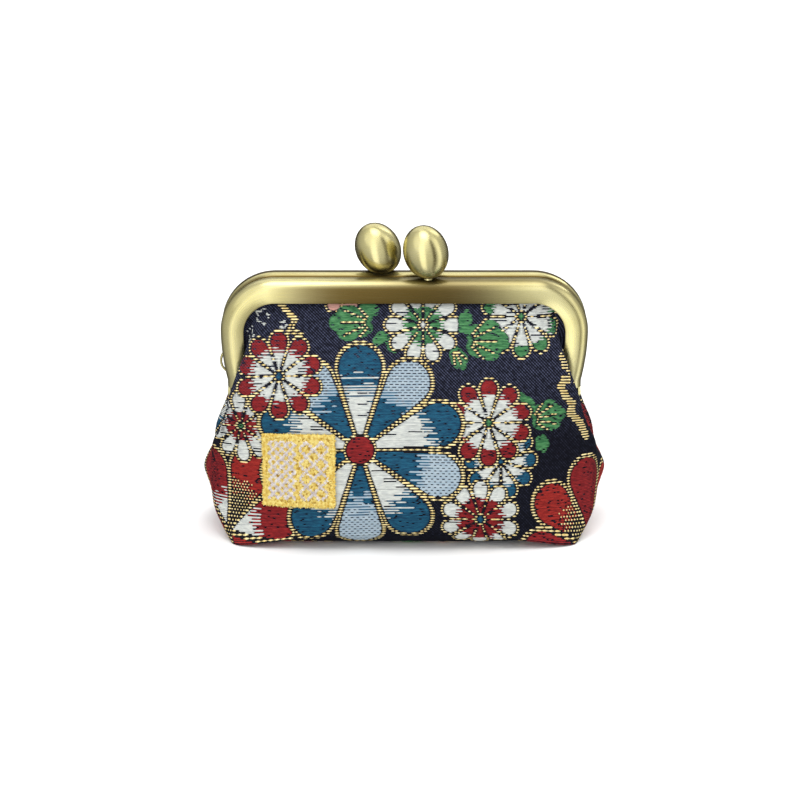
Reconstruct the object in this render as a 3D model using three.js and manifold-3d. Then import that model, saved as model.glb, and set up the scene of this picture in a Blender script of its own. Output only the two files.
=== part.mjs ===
// A clasp-frame coin purse of floral brocade: two sewn cloth panels with a boxed base hang in a hinged
// brass frame, which snaps shut with a pair of egg-shaped knobs. Millimetres, +Z up, front towards -Y,
// origin in the middle of the flat base that the purse stands on.
import * as THREE from "three";
import { mergeVertices } from "three/addons/utils/BufferGeometryUtils.js";
import Module from "manifold-3d";

const wasm = await Module();
wasm.setup();

// Driving dimensions
const GAP = 0.3; // between pieces that touch
const CLOTH = 1.4; // brocade with its stiffening
const FRONT = -1;
const BACK = 1;

const FRAME = {
  halfWidth: 45.25, // outside, at the foot of the round corners
  top: 65,
  cornerRadius: 13.5,
  kneeX: 43.8, // the legs lean in down to the knee, then run straight to the hinge
  kneeZ: 39,
  legEnd: 37.4,
  channelWidth: 5.7, // from the outer edge in towards the bag
  channelDepth: 6, // front to back, each half
  sheet: 0.9,
  ridgeRadius: 2.2, // the rounded edge beside the other half
  shoulderRadius: 2.8, // the rounded outer shoulder
  lipLean: 0.5, // how far the front wall leans back at its lip
};
const FRAME_CORNER = { x: FRAME.halfWidth - FRAME.cornerRadius, z: FRAME.top - FRAME.cornerRadius };
const HINGE = {
  z: 34.6,
  tabRadius: 2.1, // the round ear about the pin
  tabTop: 38.6,
  tabThick: 0.8,
  tabNear: 0.6, // the tab's edges on the leg, from the middle of the purse
  tabFar: 5,
  elbowY: 3.2, // where the lower edge turns up towards the leg, and how far it has dropped there
  elbowDrop: 0.6,
  heelRise: 2.2, // how far above the pin it meets the leg's outer edge
  pinRadius: 0.8,
  headRadius: 1.6,
  headThick: 0.6,
  headTaper: 0.8,
};
const HINGE_X = { frontTab: 42.3, backTab: 41.2 }; // the inner face of each tab on the right leg
const BLOCK_DEPTH = 4.4; // of the block that joins a back tab to its leg
const KNOB = { radius: 5.5, height: 13.4, spigotRadius: 1.2, spigotStop: 0.05 };
// Each knob stands at footX on its half's roof, leans by degrees to +X and +Y, and has its lowest bit cut off
const KNOBS = [
  { name: "front_knob", side: FRONT, footX: 5.8, leanX: -16, leanBack: 5, cut: 0.3 },
  { name: "back_knob", side: BACK, footX: -5.6, leanX: -25.5, leanBack: -5, cut: 1 },
];
const LOOP = { z: 41.6, halfHeight: 2.7, reach: 1.6, root: 0.4, wireRadius: 0.45 };
const PATCH = { centreX: -25.6, topRow: 0.688, bottomRow: 0.905, width: 17.6, thick: 0.8 };

// One row for each section of the front panel's outer surface, from the frame down to the boxed corner.
// mid is the centre line, fold the soft edge of the front face, tuck the way back from it, and rim the
// edge in the frame's channel, then the side seam.
const SECTION_COLUMNS = ["midY", "midZ", "foldX", "foldY", "foldZ", "tuckX", "tuckY", "rimX", "rimY", "rimZ"];
const SECTIONS = [
  [-3.85, 63.7, 22.0, -3.85, 63.7, 28.0, -3.85, 31.6, -3.85, 63.7],
  [-4.0, 60.0, 27.0, -3.9, 60.0, 34.5, -3.85, 40.2, -3.85, 60.0],
  [-6.0, 57.0, 32.8, -5.2, 56.8, 36.8, -4.1, 42.6, -3.85, 56.6],
  [-8.4, 52.0, 37.4, -6.8, 51.4, 38.3, -4.5, 43.8, -3.85, 50.8],
  [-10.5, 47.0, 39.8, -8.6, 46.2, 37.3, -4.9, 43.0, -3.85, 45.4],
  [-12.5, 42.0, 42.0, -9.8, 40.6, 36.5, -5.2, 41.2, -3.85, 40.4],
  [-14.1, 38.0, 43.4, -10.4, 36.4, 36.6, -5.6, 39.9, -3.4, 36.2],
  [-15.4, 34.5, 44.3, -10.2, 32.8, 38.2, -5.0, 39.8, -2.2, 32.2],
  [-16.6, 31.0, 45.5, -9.2, 29.3, 41.2, -4.2, 41.2, -0.15, 28.6],
  [-18.5, 25.0, 47.8, -7.4, 22.9, 47.0, -3.4, 46.6, -0.15, 22.2],
  [-20.4, 18.4, 46.6, -9.0, 16.2, 49.6, -3.3, 50.7, -0.15, 15.0],
  [-22.2, 10.4, 47.1, -10.6, 7.6, 47.5, -4.9, 47.3, -0.15, 6.8],
  [-20.7, 4.4, 42.4, -16.6, 0.0, 43.2, -9.0, 43.2, -0.15, 0.0],
].map((row) => Object.fromEntries(row.map((value, i) => [SECTION_COLUMNS[i], value])));
const WIDE = { share: 0.56, fall: 0.13, drop: 0.3 }; // a point on the face between mid and fold
const COLUMNS = { midToWide: 4, wideToFold: 5, foldToTuck: 3, tuckToRim: 2 };
const ROWS_PER_SECTION = 2;
// The centre of each row across the base, from the front edge to the seam along its middle
const BASE_ROWS = [
  { y: -17.2, z: 1.1 },
  { y: -12.7, z: 0 },
  { y: -8.5, z: 0 },
  { y: -4.3, z: 0 },
  { y: -GAP / 2, z: 0 },
];

// Materials
const brass = new THREE.MeshStandardMaterial({ color: 0xb9a75e, roughness: 0.35, metalness: 1 });
const brocade = new THREE.MeshStandardMaterial({ color: 0x24223f, roughness: 0.75, metalness: 0 });
const goldThread = new THREE.MeshStandardMaterial({ color: 0xe0c35a, roughness: 0.55, metalness: 0.2 });

// Solids and meshes

// A closed solid from points and triangles, turned to face outwards.
function solidOf(points, triangles) {
  const geometry = new THREE.BufferGeometry().setFromPoints(points);
  geometry.setIndex(triangles.flat());
  const solid = solidFrom(geometry);
  if (solid.volume() > 0) return solid;
  geometry.setIndex(triangles.map(([a, b, c]) => [a, c, b]).flat());
  return solidFrom(geometry);
}

function solidFrom(geometry) {
  const plain = geometry.clone();
  plain.deleteAttribute("normal");
  plain.deleteAttribute("uv");
  const merged = mergeVertices(plain, 1e-4);
  const vertProperties = new Float32Array(merged.attributes.position.array);
  const triVerts = new Uint32Array(merged.index.array);
  return new wasm.Manifold(new wasm.Mesh({ numProp: 3, vertProperties, triVerts }));
}

function meshOf(name, solid, material) {
  const { numVert, numProp, vertProperties, triVerts } = solid.getMesh();
  const positions = new Float32Array(numVert * 3);
  for (let i = 0; i < numVert; i++) {
    positions.set(vertProperties.subarray(i * numProp, i * numProp + 3), i * 3);
  }
  const geometry = new THREE.BufferGeometry();
  geometry.setAttribute("position", new THREE.BufferAttribute(positions, 3));
  geometry.setIndex(new THREE.BufferAttribute(triVerts, 1));
  geometry.computeVertexNormals();
  const mesh = new THREE.Mesh(geometry, material);
  mesh.name = name;
  return mesh;
}

// A solid through rings of points, each ring with the same count, closed by a flat cap at both ends.
function loftRings(rings, capTriangles) {
  const count = rings[0].length;
  const triangles = [];
  for (let i = 0; i + 1 < rings.length; i++) {
    for (let j = 0; j < count; j++) {
      const a = i * count + j;
      const b = i * count + ((j + 1) % count);
      triangles.push([a, b, b + count], [a, b + count, a + count]);
    }
  }
  const last = (rings.length - 1) * count;
  for (const [a, b, c] of capTriangles) {
    triangles.push([a, c, b], [last + a, last + b, last + c]);
  }
  return solidOf(rings.flat(), triangles);
}

// The brass frame

// The U-shaped section of one half: x runs in from the outer edge, y runs away from the other half.
function channelProfile() {
  const { channelWidth, channelDepth, sheet, ridgeRadius, shoulderRadius, lipLean } = FRAME;
  const shoulderY = channelDepth - shoulderRadius;
  const bend = (shoulderRadius + channelWidth) / 2;
  const shape = new THREE.Shape();
  shape.moveTo(channelWidth, 0);
  shape.lineTo(ridgeRadius, 0);
  shape.absarc(ridgeRadius, ridgeRadius, ridgeRadius, -Math.PI / 2, -Math.PI, true);
  shape.lineTo(0, shoulderY);
  shape.absarc(shoulderRadius, shoulderY, shoulderRadius, Math.PI, Math.PI / 2, true);
  shape.quadraticCurveTo(bend, channelDepth, channelWidth, channelDepth - lipLean);
  shape.lineTo(channelWidth, channelDepth - lipLean - sheet);
  shape.quadraticCurveTo(bend, channelDepth - sheet, shoulderRadius, channelDepth - sheet);
  shape.absarc(shoulderRadius, shoulderY, shoulderRadius - sheet, Math.PI / 2, Math.PI, false);
  shape.lineTo(sheet, ridgeRadius);
  shape.absarc(ridgeRadius, ridgeRadius, ridgeRadius - sheet, Math.PI, 1.5 * Math.PI, false);
  shape.lineTo(channelWidth, sheet);
  const points = shape.getPoints(2);
  const apart = points.filter((p, i) => i === 0 || p.distanceTo(points[i - 1]) > 1e-6);
  return THREE.ShapeUtils.isClockWise(apart) ? apart.reverse() : apart;
}

// Stations of the frame's outer edge, from the left leg's end over the top to the right leg's.
function frameStations() {
  const { halfWidth, top, cornerRadius, kneeX, kneeZ, legEnd } = FRAME;
  const lean = Math.atan2(halfWidth - kneeX, FRAME_CORNER.z - kneeZ);
  const right = [
    { x: kneeX, z: legEnd, angle: 0 },
    { x: kneeX, z: kneeZ, angle: -lean / 2 },
    { x: (halfWidth + kneeX) / 2, z: (FRAME_CORNER.z + kneeZ) / 2, angle: -lean },
  ];
  const steps = 8;
  for (let i = 0; i <= steps; i++) {
    const angle = (Math.PI / 2) * (i / steps);
    right.push({
      x: FRAME_CORNER.x + cornerRadius * Math.cos(angle),
      z: FRAME_CORNER.z + cornerRadius * Math.sin(angle),
      angle,
    });
  }
  const left = right.map(({ x, z, angle }) => ({ x: -x, z, angle: Math.PI - angle }));
  return [...left, { x: 0, z: top, angle: Math.PI / 2 }, ...right.reverse()];
}

function channel(side) {
  const profile = channelProfile();
  const rings = frameStations().map(({ x, z, angle }) =>
    profile.map((p) => new THREE.Vector3(
      x - p.x * Math.cos(angle),
      side * (GAP / 2 + p.y),
      z - p.x * Math.sin(angle),
    )),
  );
  return loftRings(rings, THREE.ShapeUtils.triangulateShape(profile, []));
}

// A flat hinge tab on the leg that lies at the given sign of x, reaching across to the pin.
function hingeTab(side, hand) {
  const { z, tabRadius, tabTop, tabThick, tabNear, tabFar, elbowY, elbowDrop, heelRise } = HINGE;
  const earStart = Math.acos(tabNear / tabRadius);
  const shape = new THREE.Shape();
  shape.moveTo(tabFar, tabTop);
  shape.lineTo(tabNear, tabTop);
  shape.absarc(0, z, tabRadius, earStart, 1.5 * Math.PI, false);
  shape.lineTo(elbowY, z - elbowDrop);
  shape.lineTo(tabFar, z + heelRise);
  const plate = new THREE.ExtrudeGeometry(shape, { depth: tabThick, bevelEnabled: false, curveSegments: 5 });
  const inner = side === FRONT ? HINGE_X.frontTab : HINGE_X.backTab;
  const place = new THREE.Matrix4().makeBasis(
    new THREE.Vector3(0, side, 0),
    new THREE.Vector3(0, 0, 1),
    new THREE.Vector3(hand, 0, 0),
  );
  place.setPosition(hand * inner, 0, 0);
  return placed(plate, place);
}

// The back tab sits further in than its leg's wall, so a block joins the two.
function tabBlock(hand) {
  const width = FRAME.kneeX - FRAME.sheet / 2 - HINGE_X.backTab;
  const height = HINGE.tabTop - FRAME.legEnd;
  const block = new THREE.BoxGeometry(width, BLOCK_DEPTH, height);
  const middle = new THREE.Matrix4().makeTranslation(
    hand * (HINGE_X.backTab + width / 2),
    HINGE.tabNear + BLOCK_DEPTH / 2,
    FRAME.legEnd + height / 2,
  );
  return placed(block, middle);
}

// A geometry moved by a matrix, as a solid that faces outwards even if the matrix mirrors it.
function placed(geometry, matrix) {
  const moved = geometry.clone().applyMatrix4(matrix);
  const plain = moved.index ? moved.toNonIndexed() : moved;
  const position = plain.getAttribute("position");
  const points = [];
  const triangles = [];
  for (let i = 0; i < position.count; i++) {
    points.push(new THREE.Vector3().fromBufferAttribute(position, i));
    if (i % 3 === 2) triangles.push([i - 2, i - 1, i]);
  }
  return solidOf(points, triangles);
}

// The wire loop for a strap, on the outside of the back half's left leg.
function strapLoop() {
  const { z, halfHeight, reach, root, wireRadius } = LOOP;
  const { kneeX, kneeZ, halfWidth } = FRAME;
  const wallX = kneeX + ((z - kneeZ) * (halfWidth - kneeX)) / (FRAME_CORNER.z - kneeZ);
  const points = [];
  const steps = 12;
  for (let i = 0; i <= steps; i++) {
    const angle = Math.PI * (i / steps);
    const out = (reach + root) * Math.sin(angle) - root;
    points.push(new THREE.Vector3(-(wallX + out), roofY(BACK), z + halfHeight * Math.cos(angle)));
  }
  const wire = new THREE.Shape().absarc(0, 0, wireRadius, 0, 2 * Math.PI);
  const extrudePath = new THREE.CatmullRomCurve3(points);
  return placed(
    new THREE.ExtrudeGeometry(wire, { steps: 14, extrudePath, curveSegments: 4, bevelEnabled: false }),
    new THREE.Matrix4(),
  );
}

function frameHalf(side) {
  let half = channel(side);
  for (const hand of [-1, 1]) {
    half = half.add(hingeTab(side, hand));
    if (side === BACK) half = half.add(tabBlock(hand));
    half = half.subtract(pinHole(hand));
  }
  const { footX } = KNOBS.find((k) => k.side === side);
  const holeRadius = KNOB.spigotRadius + GAP;
  const hole = new THREE.CylinderGeometry(holeRadius, holeRadius, 4 * FRAME.sheet, 16).rotateX(Math.PI / 2);
  half = half.subtract(placed(hole, new THREE.Matrix4().makeTranslation(footX, roofY(side), FRAME.top)));
  return side === BACK ? half.add(strapLoop()) : half;
}

// The middle of a half's roof, from front to back.
function roofY(side) {
  return side * (GAP / 2 + FRAME.channelDepth / 2);
}

// The hole for a hinge pin, right through both tabs of a leg.
function pinHole(hand) {
  const radius = HINGE.pinRadius + GAP;
  const length = 2 * (FRAME.halfWidth - HINGE_X.backTab);
  const round = new THREE.CylinderGeometry(radius, radius, length, 16).rotateZ(Math.PI / 2);
  return placed(round, new THREE.Matrix4().makeTranslation(hand * HINGE_X.frontTab, 0, HINGE.z));
}

// A hinge pin with a flat head on the outside and another on the inside.
function hingePin(hand) {
  const { pinRadius, headRadius, headThick, headTaper, z, tabThick } = HINGE;
  const inside = HINGE_X.backTab - GAP;
  const outside = HINGE_X.frontTab + tabThick + GAP;
  const profile = [
    [0, inside - headThick],
    [headRadius, inside - headThick],
    [headRadius, inside],
    [pinRadius, inside],
    [pinRadius, outside],
    [headRadius, outside],
    [headTaper * headRadius, outside + headThick],
    [0, outside + headThick],
  ].map(([r, x]) => new THREE.Vector2(r, x));
  const pin = new THREE.LatheGeometry(profile, 12).rotateZ(-hand * Math.PI / 2);
  return placed(pin, new THREE.Matrix4().makeTranslation(0, 0, z));
}

// The knobs

// A leaning egg with a flat foot, and a spigot that fills the hole in the frame's roof.
function knob({ side, footX, leanX, leanBack, cut }) {
  const { radius, height, spigotRadius, spigotStop } = KNOB;
  const foot = new THREE.Vector3(footX, roofY(side), FRAME.top + GAP);
  const axis = new THREE.Vector3(
    Math.sin(THREE.MathUtils.degToRad(leanX)),
    Math.sin(THREE.MathUtils.degToRad(leanBack)),
    0,
  );
  axis.z = Math.sqrt(1 - axis.lengthSq());
  const stretch = (height / 2) ** 2 - radius ** 2;
  const rise = Math.sqrt(radius ** 2 + stretch * axis.z ** 2);
  const centre = foot.clone().addScaledVector(axis, (stretch * axis.z) / rise);
  centre.z += radius ** 2 / rise - cut;
  const turn = new THREE.Quaternion().setFromUnitVectors(new THREE.Vector3(0, 0, 1), axis);
  const size = new THREE.Vector3(radius, radius, height / 2);
  const ball = new THREE.SphereGeometry(1, 18, 12).rotateX(Math.PI / 2);
  const egg = placed(ball, new THREE.Matrix4().compose(centre, turn, size));
  const below = new THREE.BoxGeometry(height, height, height);
  const underFoot = new THREE.Matrix4().makeTranslation(foot.x, foot.y, foot.z - height / 2);
  const spigotFoot = FRAME.top - FRAME.sheet + spigotStop;
  const length = centre.z - spigotFoot;
  const spigot = new THREE.CylinderGeometry(spigotRadius, spigotRadius, length, 12).rotateX(Math.PI / 2);
  const inRoof = new THREE.Matrix4().makeTranslation(foot.x, foot.y, spigotFoot + length / 2);
  return egg.subtract(placed(below, underFoot)).add(placed(spigot, inRoof));
}

// The cloth

// The control points of a section from the middle to the rim, on the right-hand half.
function sectionPoints(s) {
  const wide = new THREE.Vector3(
    WIDE.share * s.foldX,
    s.midY + WIDE.fall * (s.foldY - s.midY),
    s.midZ + WIDE.drop * (s.foldZ - s.midZ),
  );
  return [
    new THREE.Vector3(0, s.midY, s.midZ),
    wide,
    new THREE.Vector3(s.foldX, s.foldY, s.foldZ),
    new THREE.Vector3(s.tuckX, s.tuckY, (s.foldZ + s.rimZ) / 2),
    new THREE.Vector3(s.rimX, s.rimY, s.rimZ),
  ];
}

// One section sampled from the middle to the rim, smooth across the middle.
function sectionRow(s) {
  const points = sectionPoints(s);
  const mirrored = points.slice(1).map((p) => new THREE.Vector3(-p.x, p.y, p.z)).reverse();
  const curve = new THREE.CatmullRomCurve3([...mirrored, ...points], false, "centripetal");
  const spans = mirrored.length + points.length - 1;
  const row = [points[0]];
  Object.values(COLUMNS).forEach((steps, segment) => {
    for (let i = 1; i <= steps; i++) {
      row.push(curve.getPoint((mirrored.length + segment + i / steps) / spans));
    }
  });
  return row;
}

// The panel's right-hand half as rows of points, from the frame down to the boxed corner.
function wallRows() {
  const sections = SECTIONS.map(sectionRow);
  const columns = sections[0].map((_, c) => {
    const down = sections.map((row) => row[c]);
    return new THREE.CatmullRomCurve3(down, false, "centripetal");
  });
  const count = (sections.length - 1) * ROWS_PER_SECTION;
  const rows = [];
  for (let i = 0; i <= count; i++) {
    rows.push(columns.map((curve) => {
      const p = curve.getPoint(i / count);
      p.z = Math.max(0, p.z);
      p.y = Math.min(p.y, -GAP / 2);
      return p;
    }));
  }
  return rows;
}

const FOLD_COLUMN = COLUMNS.midToWide + COLUMNS.wideToFold;
const RIM_COLUMN = FOLD_COLUMN + COLUMNS.foldToTuck + COLUMNS.tuckToRim;

// The half of the base under this panel. Its ends are the last wall row's points from fold to rim,
// because the two edges of the corner's notch are sewn together.
function baseRows(corner) {
  return BASE_ROWS.map(({ y, z }, k) => {
    const end = corner[FOLD_COLUMN + k + 1];
    return corner.slice(0, FOLD_COLUMN).map((p) => {
      const share = p.x / corner[FOLD_COLUMN].x;
      const blend = share ** 3;
      return new THREE.Vector3(share * end.x, y + (end.y - y) * blend, z * (1 - blend));
    });
  });
}

// The outer surface of a panel: its points, its four-sided cells, and the points on the side seams.
function panelSurface() {
  const rows = wallRows();
  const base = baseRows(rows.at(-1));
  const points = [];
  const numbers = new Map();
  const seam = new Set();
  const add = (key, p) => {
    numbers.set(key, points.length);
    points.push(p);
    return points.length - 1;
  };
  rows.forEach((row, i) => row.forEach((p, c) => {
    for (const hand of c === 0 ? [1] : [-1, 1]) {
      const n = add(`${i},${hand * c}`, new THREE.Vector3(hand * p.x, p.y, p.z));
      if (c === RIM_COLUMN) seam.add(n);
    }
  }));
  base.forEach((row, k) => {
    const i = rows.length + k;
    row.forEach((p, c) => {
      for (const hand of c === 0 ? [1] : [-1, 1]) {
        add(`${i},${hand * c}`, new THREE.Vector3(hand * p.x, p.y, p.z));
      }
    });
    for (const hand of [-1, 1]) {
      const sewn = numbers.get(`${rows.length - 1},${hand * (FOLD_COLUMN + k + 1)}`);
      numbers.set(`${i},${hand * FOLD_COLUMN}`, sewn);
    }
  });
  const cells = [];
  for (let i = 0; i + 1 < rows.length + base.length; i++) {
    const reach = i + 1 < rows.length ? RIM_COLUMN : FOLD_COLUMN;
    for (let c = -reach; c < reach; c++) {
      const corners = [[i, c], [i, c + 1], [i + 1, c + 1], [i + 1, c]];
      cells.push(corners.map(([r, n]) => numbers.get(`${r},${n}`)));
    }
  }
  return { points, cells, seam };
}

// Cell normals added up at each point, pointing out of the bag.
function outwardNormals({ points, cells }) {
  const normals = points.map(() => new THREE.Vector3());
  for (const [a, b, c, d] of cells) {
    const across = points[c].clone().sub(points[a]);
    const along = points[d].clone().sub(points[b]);
    const normal = across.cross(along).normalize();
    for (const n of [a, b, c, d]) normals[n].add(normal);
  }
  const middle = normals[0].y < 0 ? 1 : -1;
  return normals.map((n) => n.normalize().multiplyScalar(middle));
}

// A wall of cloth: the surface, a copy set in by the cloth's thickness, and a strip along the open edges.
function clothWall(surface, outer, thick) {
  const { points, cells, seam } = surface;
  const normals = outwardNormals(surface);
  const offset = (p, i, by) => {
    const n = normals[i].clone();
    if (seam.has(i) && p.z < HINGE.z) {
      const level = new THREE.Vector3(n.x, 0, n.z).normalize();
      return p.clone().addScaledVector(level, by);
    }
    return p.clone().addScaledVector(n, by);
  };
  const outside = points.map((p, i) => offset(p, i, outer));
  const inside = points.map((p, i) => offset(p, i, outer - thick));
  const count = points.length;
  const triangles = [];
  const edges = new Map();
  for (const [a, b, c, d] of cells) {
    triangles.push([a, b, c], [a, c, d]);
    triangles.push([count + a, count + c, count + b], [count + a, count + d, count + c]);
    for (const [p, q] of [[a, b], [b, c], [c, d], [d, a]]) {
      if (!edges.delete(`${q},${p}`)) edges.set(`${p},${q}`, [p, q]);
    }
  }
  for (const [p, q] of edges.values()) {
    triangles.push([p, count + q, q], [p, count + p, count + q]);
  }
  return { points: [...outside, ...inside], triangles };
}

function clothPanel(side) {
  const { points, triangles } = clothWall(panelSurface(), 0, CLOTH);
  if (side === BACK) points.forEach((p) => p.setY(-p.y));
  return solidOf(points, triangles);
}

// A square of gold embroidery that lies on the left of the front face and follows its curve.
function patch() {
  const rows = wallRows();
  const steps = 8;
  const across = [];
  for (let i = 0; i <= steps; i++) {
    const at = (PATCH.topRow + ((PATCH.bottomRow - PATCH.topRow) * i) / steps) * (rows.length - 1);
    const upper = rows[Math.floor(at)];
    const lower = rows[Math.floor(at) + 1];
    const blend = at - Math.floor(at);
    across.push(upper.slice(0, FOLD_COLUMN + 1).map((p, c) => p.clone().lerp(lower[c], blend)));
  }
  const points = [];
  for (const row of across) {
    for (let j = 0; j <= steps; j++) {
      const x = -PATCH.centreX - PATCH.width / 2 + (PATCH.width * j) / steps;
      const c = row.findIndex((p, n) => n + 1 < row.length && row[n + 1].x > x);
      const p = row[c].clone().lerp(row[c + 1], (x - row[c].x) / (row[c + 1].x - row[c].x));
      points.push(p.setX(-p.x));
    }
  }
  const cells = [];
  for (let i = 0; i < steps; i++) {
    for (let j = 0; j < steps; j++) {
      const n = i * (steps + 1) + j;
      cells.push([n, n + 1, n + steps + 2, n + steps + 1]);
    }
  }
  const wall = clothWall({ points, cells, seam: new Set() }, GAP + PATCH.thick, PATCH.thick);
  return solidOf(wall.points, wall.triangles);
}

// The purse
const purse = new THREE.Group();
purse.add(meshOf("front_frame", frameHalf(FRONT), brass));
purse.add(meshOf("back_frame", frameHalf(BACK), brass));
for (const k of KNOBS) purse.add(meshOf(k.name, knob(k), brass));
purse.add(meshOf("left_hinge_pin", hingePin(-1), brass));
purse.add(meshOf("right_hinge_pin", hingePin(1), brass));
purse.add(meshOf("front_panel", clothPanel(FRONT), brocade));
purse.add(meshOf("back_panel", clothPanel(BACK), brocade));
purse.add(meshOf("gold_patch", patch(), goldThread));

export default purse;
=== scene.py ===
"""Looks of a brocade clasp purse: cloth woven strand by strand, a brushed brass frame and a gold patch."""

import math

import bpy
import numpy as np
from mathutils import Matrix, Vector


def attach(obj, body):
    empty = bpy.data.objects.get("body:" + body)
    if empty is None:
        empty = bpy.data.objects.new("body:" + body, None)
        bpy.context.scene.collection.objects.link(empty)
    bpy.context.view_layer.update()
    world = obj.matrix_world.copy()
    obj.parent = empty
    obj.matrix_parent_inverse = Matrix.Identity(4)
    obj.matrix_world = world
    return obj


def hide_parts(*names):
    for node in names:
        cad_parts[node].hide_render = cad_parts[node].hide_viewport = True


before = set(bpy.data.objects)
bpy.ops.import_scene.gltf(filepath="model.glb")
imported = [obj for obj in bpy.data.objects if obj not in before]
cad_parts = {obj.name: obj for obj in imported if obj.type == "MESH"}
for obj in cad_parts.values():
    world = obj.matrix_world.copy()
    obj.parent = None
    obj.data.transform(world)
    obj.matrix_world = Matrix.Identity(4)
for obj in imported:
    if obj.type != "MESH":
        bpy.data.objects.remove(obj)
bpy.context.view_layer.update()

# Sizes are in millimetres, in the model's frame: the front is -Y, +X is right, +Z is up, the floor is at 0
MM = 0.001
FRONT, BACK = -1, 1
GAP = 0.3

# The frame's halves: a bent channel with its open side towards the cloth
HALF_WIDTH, TOP, CORNER = 45.25, 65.0, 13.5
KNEE_X, KNEE_Z, LEG_END = 43.8, 39.0, 37.4
CHANNEL_WIDTH, CHANNEL_DEPTH, SHEET = 5.7, 6.0, 0.9
RIDGE, SHOULDER, LIP_LEAN = 2.2, 2.8, 0.5
CORNER_X, CORNER_Z = HALF_WIDTH - CORNER, TOP - CORNER
MIDDLE_Y = GAP / 2 + CHANNEL_DEPTH / 2

# The halves' inner walls and the side seams' inner edges slant this far, so that no light shows through
SHUT_LEAN, SEAM_LAP = 0.32, 0.32

# The hinges at the ends of the legs
HINGE_Z, TAB_RADIUS, TAB_TOP, TAB_THICK = 34.6, 2.1, 38.6, 0.8
TAB_NEAR, TAB_FAR, TAB_EAR = 0.6, 5.0, (62, 270)
TAB_CORNER_Y, TAB_CORNER_DROP, TAB_CORNER_RISE = 3.2, 0.6, 2.2
TAB_X = {FRONT: 42.3, BACK: 41.2}
PIN_RADIUS, PIN_HEAD, PIN_HEAD_TOP, PIN_HEAD_THICK = 0.8, 1.6, 1.28, 0.6

# The knobs, and the wire loop on the back half's left leg
KNOB_RADIUS, KNOB_HEIGHT, KNOB_SPIGOT, SPIGOT_STOP = 5.5, 13.4, 1.2, 0.05
KNOBS = {
    "front_knob": dict(side=FRONT, foot_x=5.8, lean_x=-16, lean_back=5, cut=0.3),
    "back_knob": dict(side=BACK, foot_x=-5.6, lean_x=-25.5, lean_back=-5, cut=1.0),
}
LOOP_Z, LOOP_HALF_HEIGHT, LOOP_REACH, LOOP_ROOT, LOOP_WIRE = 41.6, 2.85, 1.75, 0.4, 0.3

# The cloth's sections from the frame down to the base, on its right half
CLOTH = 1.4
SECTION_COLUMNS = "mid_y mid_z fold_x fold_y fold_z tuck_x tuck_y rim_x rim_y rim_z".split()
SECTIONS = np.array([
    (-3.85, 63.7, 22.0, -3.85, 63.7, 28.0, -3.85, 31.6, -3.85, 63.7),
    (-4.0, 60.0, 27.0, -3.9, 60.0, 34.5, -3.85, 40.2, -3.85, 60.0),
    (-6.0, 57.0, 32.8, -5.2, 56.8, 36.8, -4.1, 42.6, -3.85, 56.6),
    (-8.4, 52.0, 37.4, -6.8, 51.4, 38.3, -4.5, 43.8, -3.85, 50.8),
    (-10.5, 47.0, 39.8, -8.6, 46.2, 37.3, -4.9, 43.0, -3.85, 45.4),
    (-12.5, 42.0, 42.0, -9.8, 40.6, 36.5, -5.2, 41.2, -3.85, 40.4),
    (-14.1, 38.0, 43.4, -10.4, 36.4, 36.6, -5.6, 39.9, -3.4, 36.2),
    (-15.4, 34.5, 44.3, -10.2, 32.8, 38.2, -5.0, 39.8, -2.2, 32.2),
    (-16.6, 31.0, 45.5, -9.2, 29.3, 41.2, -4.2, 41.2, -0.15, 28.6),
    (-18.5, 25.0, 47.8, -7.4, 22.9, 47.0, -3.4, 46.6, -0.15, 22.2),
    (-20.4, 18.4, 46.6, -9.0, 16.2, 49.6, -3.3, 50.7, -0.15, 15.0),
    (-22.2, 10.4, 47.1, -10.6, 7.6, 47.5, -4.9, 47.3, -0.15, 6.8),
    (-20.7, 4.4, 42.4, -16.6, 0.0, 43.2, -9.0, 43.2, -0.15, 0.0),
])
BASE_MIDDLE = np.array([(-20.7, 4.4), (-17.2, 1.1), (-12.7, 0.0), (-8.5, 0.0), (-4.3, 0.0), (-0.15, 0.0)])
WIDE_SHARE, WIDE_FALL, WIDE_DROP = 0.56, 0.13, 0.3
COLUMN_STEPS = (14, 18, 9, 9)
ROWS_PER_SECTION = 8
MIDDLE_COLUMN = sum(COLUMN_STEPS)
FOLD_COLUMN = sum(COLUMN_STEPS[:2])

# Soft hollows: how deep, from where to where they fade at the frame, the base and the sides, and their waves
PUCKER_DEPTH = 0.16
PUCKER_TOP, PUCKER_FOOT, PUCKER_SIDE = (8, 22), (50, 62), (38, 50)
ACROSS_LENGTH, ACROSS_SWAY, ACROSS_SWAY_LENGTH = 5.3, 0.9, 9.0
DOWN_LENGTH, DOWN_START, DOWN_SWAY, DOWN_SWAY_LENGTH = 6.7, 1.1, 0.6, 11.0

# The weave: the ground lies a little under the outer surface, and the strands' crests reach it
WEFT = 0.34
STRAND_RISE = 0.13
U_LIMIT = 62.0
TABLE_STEP = 0.5
DRAW_STEP = 0.125
rng = np.random.default_rng(7)


def linear(red, green, blue):
    """A colour given as 0 to 255 in sRGB, as the shader's linear numbers."""
    share = np.array([red, green, blue]) / 255
    straight = np.where(share <= 0.04045, share / 12.92, ((share + 0.055) / 1.055) ** 2.4)
    return (*straight, 1.0)


# Meshes

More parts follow.
